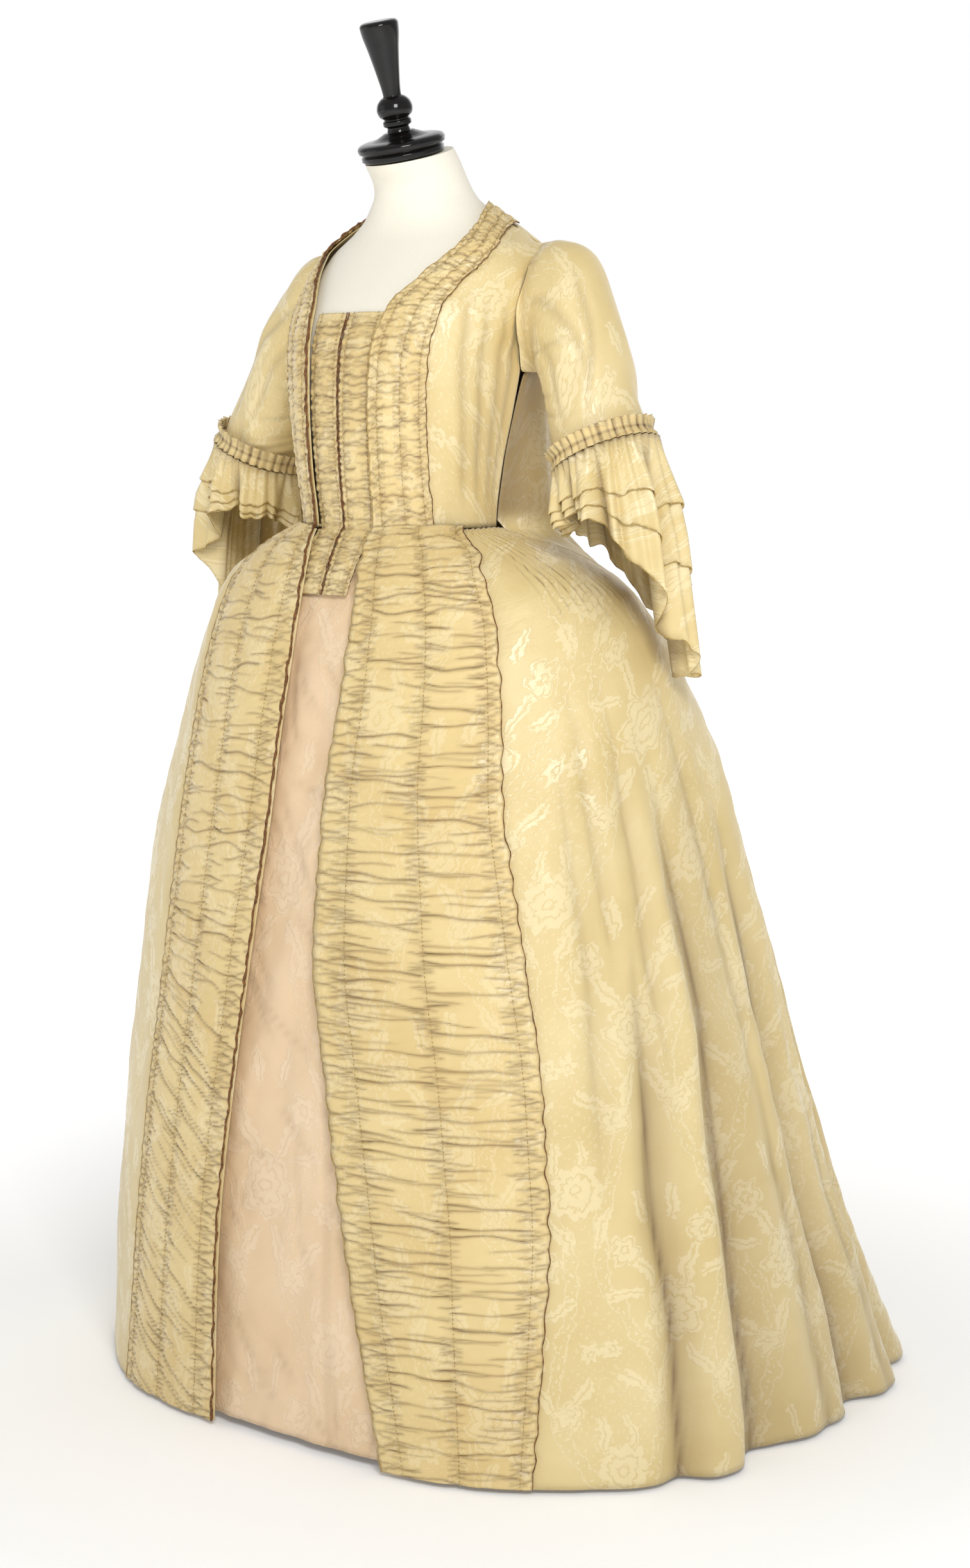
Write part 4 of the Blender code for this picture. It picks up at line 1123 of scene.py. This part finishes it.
def makeSleeve(side, word):
    settings = sleeve
    share = np.linspace(0, 1, settings["columns"])
    rings = [armholeRing(share % 1.0)]
    for underX, underZ, overX, overZ, y, depth in zip(*sleeveRings.values()):
        under, over = np.array([underX, y, underZ]), np.array([overX, y, overZ])
        rings.append(ringAcross((under + over) / 2, (under - over) / 2, depth, share))
    rings = np.array(rings)
    # a smooth curve down the arm through every ring
    along = np.linspace(0, len(rings) - 1, settings["rows"])
    i = np.minimum(along.astype(int), len(rings) - 2)
    t = (along - i)[:, None, None]
    points = smoothGrid = throughFour(rings[np.maximum(i - 1, 0)], rings[i], rings[i + 1],
                                      rings[np.minimum(i + 2, len(rings) - 1)], t)
    uv = cutMap(points)
    u, v = uv[..., 0], uv[..., 1]
    shares = share[None, :] + 0 * u
    down = along[:, None] / (len(rings) - 1) + 0 * u
    height = 0.0016 * softNoise(np.cos(2 * math.pi * shares) * 0.06, v, 0.07, 90 + side)
    # painted shade along the pleats, drag lines and bend creases below
    dark = np.zeros_like(u)
    rng = np.random.default_rng(95 + side)
    # pleats eased into the top of the armhole
    for k in range(settings["pleats"]):
        at = 0.5 + (k - settings["pleats"] // 2) * settings["pleatStep"] + rng.normal(0, 0.004)
        off = (shares - at) / 0.0065
        reach = rng.uniform(0.10, 0.22)
        fade = smooth((reach - down) / (reach * 0.8)) * smooth(down / 0.02)
        height += 0.0020 * groove(off) * fade
        dark = np.maximum(dark, 0.4 * np.exp(-np.abs(off) ** 1.4) * fade)
    for at, slant, top, bottom, depth in zip(*settings["drags"].values()):
        off = (shares - at - slant * (down - 0.4) - 0.012 * np.sin(down * 14)) / 0.016
        fade = smooth((down - top) / 0.18) * smooth((bottom - down) / 0.2)
        height += depth * groove(off) * fade
        dark = np.maximum(dark, 0.2 * np.exp(-off * off) * fade)
    # short creases in the bend of the arm
    for _ in range(settings["bendCreases"]):
        at, centre = rng.uniform(0.45, 0.95), rng.uniform(-0.08, 0.20)
        off = (down - at - 0.10 * np.sin(2 * math.pi * (shares - centre))) / 0.012
        near = np.exp(-(((shares - centre + 0.5) % 1.0 - 0.5) / 0.13) ** 2)
        height += 0.0014 * groove(off) * near
        dark = np.maximum(dark, 0.28 * np.exp(-off * off) * near)
    height *= smooth(down / 0.03)
    points = pushed(points, height, ring=True)
    points[:, -1] = points[:, 0]
    piece = clothPiece(f"sleeve_{word}_cloth", mirrored(points, side), gownSilk, settings["wall"], ring=True,
                       uv=facing(uv, side), fold=facing(dark, side), inward=True)
    hold(piece, "gown_silk", f"sleeve_{word}")


# Flounces at the elbow, the shortest outside.
flounces = {
    "columns": 217, "rows": 18, "gathers": 36, "gatherDepth": 0.0028, "gatherReach": 0.03, "wall": 0.0006,
    "axis": np.array([0.14, 0.05, -0.99]) / math.sqrt(0.14 ** 2 + 0.05 ** 2 + 0.99 ** 2),
    "longSide": math.radians(220.0), "taper": 2.0, "flare": 0.10, "opens": 0.12,
    "tiers": {
        "upper": {"radius": 0.0630, "drop": 0.000, "shortest": 0.036, "longest": 0.085},
        "middle": {"radius": 0.0595, "drop": 0.003, "shortest": 0.044, "longest": 0.160},
        "lower": {"radius": 0.0560, "drop": 0.006, "shortest": 0.048, "longest": 0.262},
    },
    "turning": 0.003,
    # folds fan out from the gathers: counts that close round the arm, and their sizes
    "folds": {7: 0.80, 12: 0.60, 19: 0.42, 29: 0.20},
}
heading = {"columns": 161, "rows": 14, "wall": 0.0006, "radius": 0.0600, "height": 0.024,
           "fullWide": 1.4, "turning": 0.002}


def elbow():
    # the sleeve's end: its centre, the way the arm goes, and the way to the underside
    last = {name: values[-1] for name, values in sleeveRings.items()}
    across = np.array([last["underX"] - last["overX"], 0.0, last["underZ"] - last["overZ"]])
    across /= np.linalg.norm(across)
    centre = np.array([(last["underX"] + last["overX"]) / 2, last["y"],
                       (last["underZ"] + last["overZ"]) / 2])
    return centre, np.cross(across, [0.0, 1.0, 0.0]), across


def makeFlounces(side, word):
    start, _, under = elbow()
    share = np.linspace(0, 1, flounces["columns"])
    rng = np.random.default_rng(120 + side)
    phases = [0.0] + [rng.uniform(0, 6) for _ in range(len(flounces["folds"]) - 1)]
    waves = [(count, size, phase) for (count, size), phase in zip(flounces["folds"].items(), phases)]
    edges = {}
    for name, tier in flounces["tiers"].items():
        down, shares = np.meshgrid(np.linspace(0, 1, flounces["rows"]), share, indexing="ij")
        turn = 2 * math.pi * shares
        longer = (1 + np.cos(turn - flounces["longSide"])) / 2
        scallop = 0.010 * np.abs(np.sin(turn * 4.5 + 0.4)) + 0.0035 * np.abs(np.sin(turn * 13.5))
        reaching = (tier["longest"] - tier["shortest"]) * longer ** flounces["taper"]
        length = tier["shortest"] + reaching + scallop
        fallen = down * length
        below = fallen + tier["drop"]
        opened = np.minimum(fallen, flounces["opens"])
        wave = sum(size * np.cos(count * turn + phase + 2.2 * below * math.cos(count))
                   for count, size, phase in waves)
        reach = 0.17 * np.minimum(below, 0.085) * wave
        gathered = np.cos(flounces["gathers"] * turn + 0.8 * np.sin(5 * turn))
        gathered = gathered * np.exp(-fallen / flounces["gatherReach"])
        reach = reach + flounces["gatherDepth"] * gathered
        radius = tier["radius"] + flounces["flare"] * opened + reach
        centre = start + flounces["axis"] * below[..., None]
        rim = under * np.cos(turn)[..., None] + forward * np.sin(turn)[..., None]
        points = centre + rim * radius[..., None]
        # painted shade in the troughs of the waves and just below the gathers
        dark = 0.55 * smooth((-wave - 0.35) / 1.3) * smooth(below / 0.03) + 0.5 * np.exp(-below / 0.008)
        points[:, -1] = points[:, 0]
        uv = cutMap(points)
        uv[..., 0] *= 1.2
        grid = mirrored(points, side)
        piece = clothPiece(f"flounce_{name}_{word}_cloth", grid, gownSilk, flounces["wall"], ring=True,
                           uv=facing(uv, side), fold=facing(dark, side))
        hold(piece, "gown_silk", f"flounce_{name}_{word}")
        # the cut is as wide at its gathers as at its free edge, where its waves are whole
        edges[name] = pushed(grid, 0.0006, ring=True)[-1]
    return edges


def makeHeading(side, word):
    settings = heading
    centre, axis, under = elbow()
    share = np.linspace(0, 1, settings["columns"])
    step = np.linspace(-settings["height"], -0.001, settings["rows"])
    rings = np.array([ringAcross(centre + axis * d, under * settings["radius"], settings["radius"], share)
                      for d in step])
    turn = 2 * math.pi * share[None, :]
    along = np.linspace(0, 1, settings["rows"])[:, None]
    pinched = np.abs(along - 0.55) / 0.55
    ruffle = np.cos(38 * turn + 1.1 * np.sin(3 * turn)) + 0.5 * np.cos(61 * turn)
    height = 0.0026 * ruffle * (0.15 + pinched) + 0.0030 * smooth(pinched) + 0.0005
    # painted shade in the troughs of the ruffles and along the pinched middle
    dark = 0.65 * smooth((-ruffle - 0.2) / 0.9) + 0.45 * np.exp(-(pinched / 0.16) ** 2)
    points = pushed(rings, height, ring=True)
    points[:, -1] = points[:, 0]
    piece = clothPiece(f"cuff_heading_{word}_gathered", mirrored(points, side), trimSilk,
                       settings["wall"], ring=True, fold=facing(dark, side))
    hold(piece, "trim_silk", f"cuff_heading_{word}")


def newTree(name, inputs):
    tree = bpy.data.node_groups.new(name, "GeometryNodeTree")
    tree.interface.new_socket("Geometry", in_out="INPUT", socket_type="NodeSocketGeometry")
    for label, kind in inputs.items():
        tree.interface.new_socket(label, in_out="INPUT", socket_type=kind)
    tree.interface.new_socket("Geometry", in_out="OUTPUT", socket_type="NodeSocketGeometry")
    return tree, addNode(tree, "NodeGroupInput")


def spacedAlong(tree, entry, step):
    line = addNode(tree, "GeometryNodeMeshToCurve", {"Mesh": entry.outputs["Geometry"]})
    return addNode(tree, "GeometryNodeResampleCurve", {"Curve": line, "Length": entry.outputs[step]},
                   mode="LENGTH")


def unevenness(tree, entry, low, high):
    vary = addNode(tree, "FunctionNodeRandomValue", {"Min": low, "Max": high, "Seed": entry.outputs["Seed"]})
    vary.data_type = "FLOAT"
    return next(s for s in vary.outputs if s.enabled)


def endTree(tree, entry, geometry):
    # ends a tree in real meshes with their finish on them
    real = addNode(tree, "GeometryNodeRealizeInstances", {"Geometry": geometry})
    smoothed = addNode(tree, "GeometryNodeSetShadeSmooth", {"Geometry": real})
    finish = addNode(tree, "GeometryNodeSetMaterial",
                     {"Geometry": smoothed, "Material": entry.outputs["Material"]})
    addNode(tree, "NodeGroupOutput", {0: finish})
    return tree


def makeStitchTree():
    # small rounded stitches laid end to end along each line
    tree, entry = newTree("stitchesAlongLine", {"Pitch": "NodeSocketFloat", "Length": "NodeSocketFloat",
                                                "Thickness": "NodeSocketFloat", "Seed": "NodeSocketInt",
                                                "Material": "NodeSocketMaterial"})
    spaced = spacedAlong(tree, entry, "Pitch")
    stitch = addNode(tree, "GeometryNodeMeshIcoSphere", {"Radius": 0.5, "Subdivisions": 1})
    tangent = addNode(tree, "GeometryNodeInputTangent")
    aligned = addNode(tree, "FunctionNodeAlignRotationToVector", {"Vector": tangent}, axis="X")
    uneven = unevenness(tree, entry, 0.75, 1.15)
    length = maths(tree, "MULTIPLY", entry.outputs["Length"], uneven)
    size = addNode(tree, "ShaderNodeCombineXYZ", {0: length, 1: entry.outputs["Thickness"],
                                                  2: entry.outputs["Thickness"]})
    placed = addNode(tree, "GeometryNodeInstanceOnPoints", {"Points": spaced, "Instance": stitch,
                                                            "Rotation": aligned, "Scale": size})
    return endTree(tree, entry, placed)


def makeEdgeTree():
    # a thin uneven cord: the cut edge of the silk, rolled, in the colour that it is given
    tree, entry = newTree("rolledEdgeAlongLine", {"Step": "NodeSocketFloat", "Radius": "NodeSocketFloat",
                                                  "Seed": "NodeSocketInt", "Material": "NodeSocketMaterial"})
    spaced = spacedAlong(tree, entry, "Step")
    uneven = unevenness(tree, entry, 0.45, 1.25)
    radius = maths(tree, "MULTIPLY", entry.outputs["Radius"], uneven)
    circle = addNode(tree, "GeometryNodeCurvePrimitiveCircle", {"Resolution": 6, "Radius": 1.0})
    cord = addNode(tree, "GeometryNodeCurveToMesh", {"Curve": spaced, "Profile Curve": circle,
                                                     "Scale": radius, "Fill Caps": True})
    return endTree(tree, entry, cord)


def alongLines(name, lines, tree, values, slot):
    # runs a tree over polylines and keeps the result as a plain mesh
    mesh = bpy.data.meshes.new(name + "_line")
    verts, edges = [], []
    for line in lines:
        first = len(verts)
        verts += np.asarray(line).tolist()
        edges += [(first + i, first + i + 1) for i in range(len(line) - 1)]
    mesh.from_pydata(verts, edges, [])
    guide = asObject(mesh)
    modifier = guide.modifiers.new("Follow", "NODES")
    modifier.node_group = tree
    for item in tree.interface.items_tree:
        if item.item_type == "SOCKET" and item.in_out == "INPUT" and item.name in values:
            modifier[item.identifier] = values[item.name]
    evaluated = guide.evaluated_get(bpy.context.evaluated_depsgraph_get())
    made = bpy.data.meshes.new_from_object(evaluated)
    made.name = name
    guide.modifiers.clear()
    bpy.data.objects.remove(guide, do_unlink=True)
    return hold(finishOf(asObject(made), values["Material"]), slot)


stitches = {"Pitch": 0.0050, "Length": 0.0032, "Thickness": 0.0011, "Seed": 7}
# thin dark brown cords along the left robing's outer edges and the centre front; at the centre front they
# paint the shade of the gap between the compere's halves
thinBrownCord = {"Step": 0.0045, "Radius": 0.0006, "Seed": 11}
# a thicker dark brown cord inside the right robing's opening: the lining's brown edge, with painted shade of
# the gap beside it
rightOpening = {"Step": 0.0045, "Radius": 0.0017, "Seed": 12}
plainEdge = {"Step": 0.0055, "Radius": 0.0005, "Seed": 13}

formTorso = {
    "rows": 90, "columns": 112, "chest": 0.006, "waist": 0.017, "behind": 0.014,
    "seams": (0.0, 180.0, 44.0, -44.0, 100.0, -100.0, 136.0, -136.0),
}
neckStand = {
    "centre": (0.0, -0.038, 1.519), "lean": 16.0,
    "cap": [
        (0.0, 0.0300), (0.0160, 0.0300), (0.0220, 0.0275), (0.0300, 0.0240), (0.0360, 0.0225),
        (0.0420, 0.0220), (0.0500, 0.0200), (0.0530, 0.0160), (0.0520, 0.0110), (0.0480, 0.0085),
        (0.0500, 0.0060), (0.0500, 0.0020), (0.0470, 0.0003), (0.0, 0.0003),
    ],
    "finial": [
        (0.0, 0.1590), (0.0150, 0.1590), (0.0210, 0.1575), (0.0232, 0.1540), (0.0228, 0.1480),
        (0.0185, 0.1250), (0.0135, 0.0950), (0.0110, 0.0760), (0.0108, 0.0720), (0.0150, 0.0690),
        (0.0200, 0.0630), (0.0216, 0.0560), (0.0195, 0.0490), (0.0150, 0.0445), (0.0170, 0.0420),
        (0.0170, 0.0380), (0.0130, 0.0350), (0.0140, 0.0303), (0.0, 0.0303),
    ],
}


def makeTorso():
    settings = formTorso
    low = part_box("form_torso")[0]
    top = neckStand["centre"][2] - 0.002
    z = np.linspace(top, low[2] + 0.0002, settings["rows"])[:, None]
    angles = np.linspace(-math.pi, math.pi, settings["columns"] + 1)
    angle = angles[None, :] + 0 * z
    inset = settings["waist"] + (settings["chest"] - settings["waist"]) * smooth((z - 1.16) / 0.14)
    inset = inset * (1 - 0.8 * smooth((z - 1.43) / 0.04))
    behind = smooth(-2 * np.cos(angle)) * smooth((z - 1.20) / 0.10) * smooth((1.46 - z) / 0.04)
    seamed = 0 * angle
    for degrees in settings["seams"]:
        off = ((np.degrees(angle) - degrees + 180) % 360 - 180) / 0.55
        seamed = seamed + np.exp(-off * off)
    seamed = seamed * smooth((1.47 - z) / 0.02)
    collar = np.exp(-((z - 1.466) / 0.0016) ** 2)
    points = onBodice(angle, np.maximum(z, 0.98))
    inset = inset + settings["behind"] * behind + 0.0006 * seamed + 0.0005 * collar
    points = points - outwardAt(angle) * inset[..., None]
    lean = smooth((z - 1.46) / 0.055) * math.tan(math.radians(neckStand["lean"]))
    points[..., 2] = z + (points[..., 1] - neckStand["centre"][1]) * lean
    grid = points[:, :-1]
    rows, columns = grid.shape[:2]
    verts = grid.reshape(-1, 3).tolist()
    faces = [(r * columns + columns + c, r * columns + columns + (c + 1) % columns,
              r * columns + (c + 1) % columns, r * columns + c)
             for r in range(rows - 1) for c in range(columns)]
    for row, flip in ((0, False), (rows - 1, True)):
        middle = len(verts)
        verts.append(grid[row].mean(0).tolist())
        for c in range(columns):
            a, b = row * columns + c, row * columns + (c + 1) % columns
            faces.append((b, a, middle) if flip else (a, b, middle))
    mesh = bpy.data.meshes.new("form_torso_linen")
    mesh.from_pydata(verts, [], faces)
    mesh.shade_smooth()
    mesh.set_sharp_from_angle(angle=math.radians(50))
    hold(finishOf(asObject(mesh), linen), "form_linen", "form_torso")


def makeStand():
    tilt = Matrix.Translation(neckStand["centre"]) @ Matrix.Rotation(math.radians(neckStand["lean"]), 4, "X")
    for node, profile in (("form_neck_cap", "cap"), ("form_finial", "finial")):
        piece = turnedPiece(node + "_turned", neckStand[profile], ebonised, place=tilt)
        hold(piece, "ebonised_wood", node)
    low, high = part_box("form_pole")
    radius = high[0]
    pole = [(0.0, high[2]), (radius, high[2]), (radius, low[2]), (0.0, low[2])]
    hold(turnedPiece("form_pole_tube", pole, steel, steps=64, fine=2), "pole_steel", "form_pole")
    low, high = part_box("form_base")
    radius, tall = high[0], high[2]
    base = [(0.0, tall), (0.030, tall), (0.040, tall * 0.82), (0.090, tall * 0.65),
            (radius - 0.010, tall * 0.47), (radius, tall * 0.30), (radius, 0.002),
            (radius - 0.002, low[2]), (0.0, low[2])]
    hold(turnedPiece("form_base_cast", base, enamel, steps=96, fine=3), "base_iron", "form_base")


makeTorso()
makeStand()
print("form and stand made")
makePetticoat()
makeSack()
print("petticoat and sack back made")
stitchTree, edgeTree = makeStitchTree(), makeEdgeTree()
for side, word in ((1, "left"), (-1, "right")):
    makeBodiceFront(side, word)
    makeSkirtSide(side, word)
    bodiceLinesMade = makeBodiceRobing(side, word)
    skirtLinesMade = makeSkirtRobing(side, word)
    compereLinesMade = makeCompere(side, word)
    makeSleeve(side, word)
    makeHeading(side, word)
    flounceEdges = makeFlounces(side, word)
    print(f"{word} side of the gown made")
    sewn = bodiceLinesMade["gathers"] + skirtLinesMade["gathers"] + compereLinesMade["gathers"]
    alongLines(f"gather_stitches_{word}", sewn, stitchTree, dict(stitches, Material=threadStraw),
               "trim_silk")
    outer = [bodiceLinesMade["outer"], skirtLinesMade["outer"]]
    inner = [bodiceLinesMade["inner"], skirtLinesMade["inner"]]
    bound = dict(thinBrownCord, Material=brownEdgeAndGapShade) if side > 0 else dict(plainEdge, Material=threadStraw)
    alongLines(f"robing_outer_edge_{word}", outer, edgeTree, bound, "trim_silk")
    # on the wearer's right the opening gets the thick dark brown cord: the lining's edge, with painted shade
    # of the gap beside the petticoat
    opening = dict(plainEdge, Material=threadStraw) if side > 0 else dict(rightOpening, Material=brownEdgeAndGapShade)
    alongLines(f"robing_inner_edge_{word}", inner, edgeTree, opening, "trim_silk")
    # dark brown cords along the centre front: painted shade of the gap between the compere's halves
    alongLines(f"compere_edge_{word}", [compereLinesMade["inner"]], edgeTree,
               dict(thinBrownCord, Radius=0.0008, Material=brownEdgeAndGapShade), "trim_silk")
    alongLines(f"flounce_edges_{word}", list(flounceEdges.values()), edgeTree,
               dict(plainEdge, Radius=0.0006, Material=threadStraw), "trim_silk")
print("stitches and edges made")

floorReach = 30.0
backdrop = {"dim": 0.47, "bright": 1.0, "from": 0.55, "to": 0.80}


def makeStage():
    mesh = bpy.data.meshes.new("floor")
    reach = floorReach
    mesh.from_pydata([(-reach, -reach, 0), (reach, -reach, 0), (reach, reach, 0), (-reach, reach, 0)], [],
                     [(0, 1, 2, 3)])
    floor = asObject(mesh)
    pale = bpy.data.materials.new("studioPaperMatt")
    pale.use_nodes = True
    shader = pale.node_tree.nodes["Principled BSDF"]
    shader.inputs["Base Color"].default_value = colour("#FBFBFA")
    shader.inputs["Roughness"].default_value = 0.9
    shader.inputs["Specular IOR Level"].default_value = 0.0
    # the paper glows more with distance, so that it fades to white
    place = addNode(pale.node_tree, "ShaderNodeTexCoord")
    far = vectors(pale.node_tree, "LENGTH", place.outputs["Object"])
    lit = remap(pale.node_tree, far.outputs["Value"], 0.7, 2.2, to=(0.12, 0.6))
    shader.inputs["Emission Color"].default_value = (1.0, 1.0, 1.0, 1.0)
    pale.node_tree.links.new(lit.outputs[0], shader.inputs["Emission Strength"])
    finishOf(floor, pale)


lamps = {
    "key": {"at": (2.6, -2.4, 2.9), "aim": (0.0, 0.0, 0.9), "size": 1.3, "watts": 92},
    "fill": {"at": (-2.6, -2.6, 1.9), "aim": (0.0, 0.0, 0.8), "size": 2.4, "watts": 8},
    "back": {"at": (-0.8, 3.2, 2.8), "aim": (0.0, 0.2, 0.9), "size": 2.2, "watts": 8},
}


def makeLight():
    for name, lamp in lamps.items():
        data = bpy.data.lights.new(name, "AREA")
        data.energy = lamp["watts"]
        data.size = lamp["size"]
        obj = bpy.data.objects.new(name, data)
        scene.collection.objects.link(obj)
        obj.location = lamp["at"]
        obj.rotation_euler = (Vector(lamp["aim"]) - Vector(lamp["at"])).to_track_quat("-Z", "Y").to_euler()
    world = bpy.data.worlds.new("studio")
    world.use_nodes = True
    # a white backdrop behind the gown, and dimmer walls round the rest of the room
    tree, turn = world.node_tree, math.radians(viewpoint["turn"])
    place = addNode(tree, "ShaderNodeTexCoord")
    towards = (-math.sin(turn), math.cos(turn), 0.0)
    facingIt = vectors(tree, "DOT_PRODUCT", place.outputs["Generated"], towards)
    bright = remap(tree, facingIt.outputs["Value"], backdrop["from"], backdrop["to"],
                   to=(backdrop["dim"], backdrop["bright"]))
    tree.links.new(bright.outputs[0], tree.nodes["Background"].inputs["Strength"])
    tree.nodes["Background"].inputs["Color"].default_value = (1.0, 1.0, 1.0, 1.0)
    scene.world = world
    scene.view_settings.view_transform = "Standard"


makeStage()
makeLight()
print("floor and light made")

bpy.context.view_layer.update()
triangles = sum(sum(len(face.vertices) - 2 for face in piece.data.polygons) for piece in pieces)
print(f"{len(pieces)} pieces, {triangles} triangles before their walls are added")
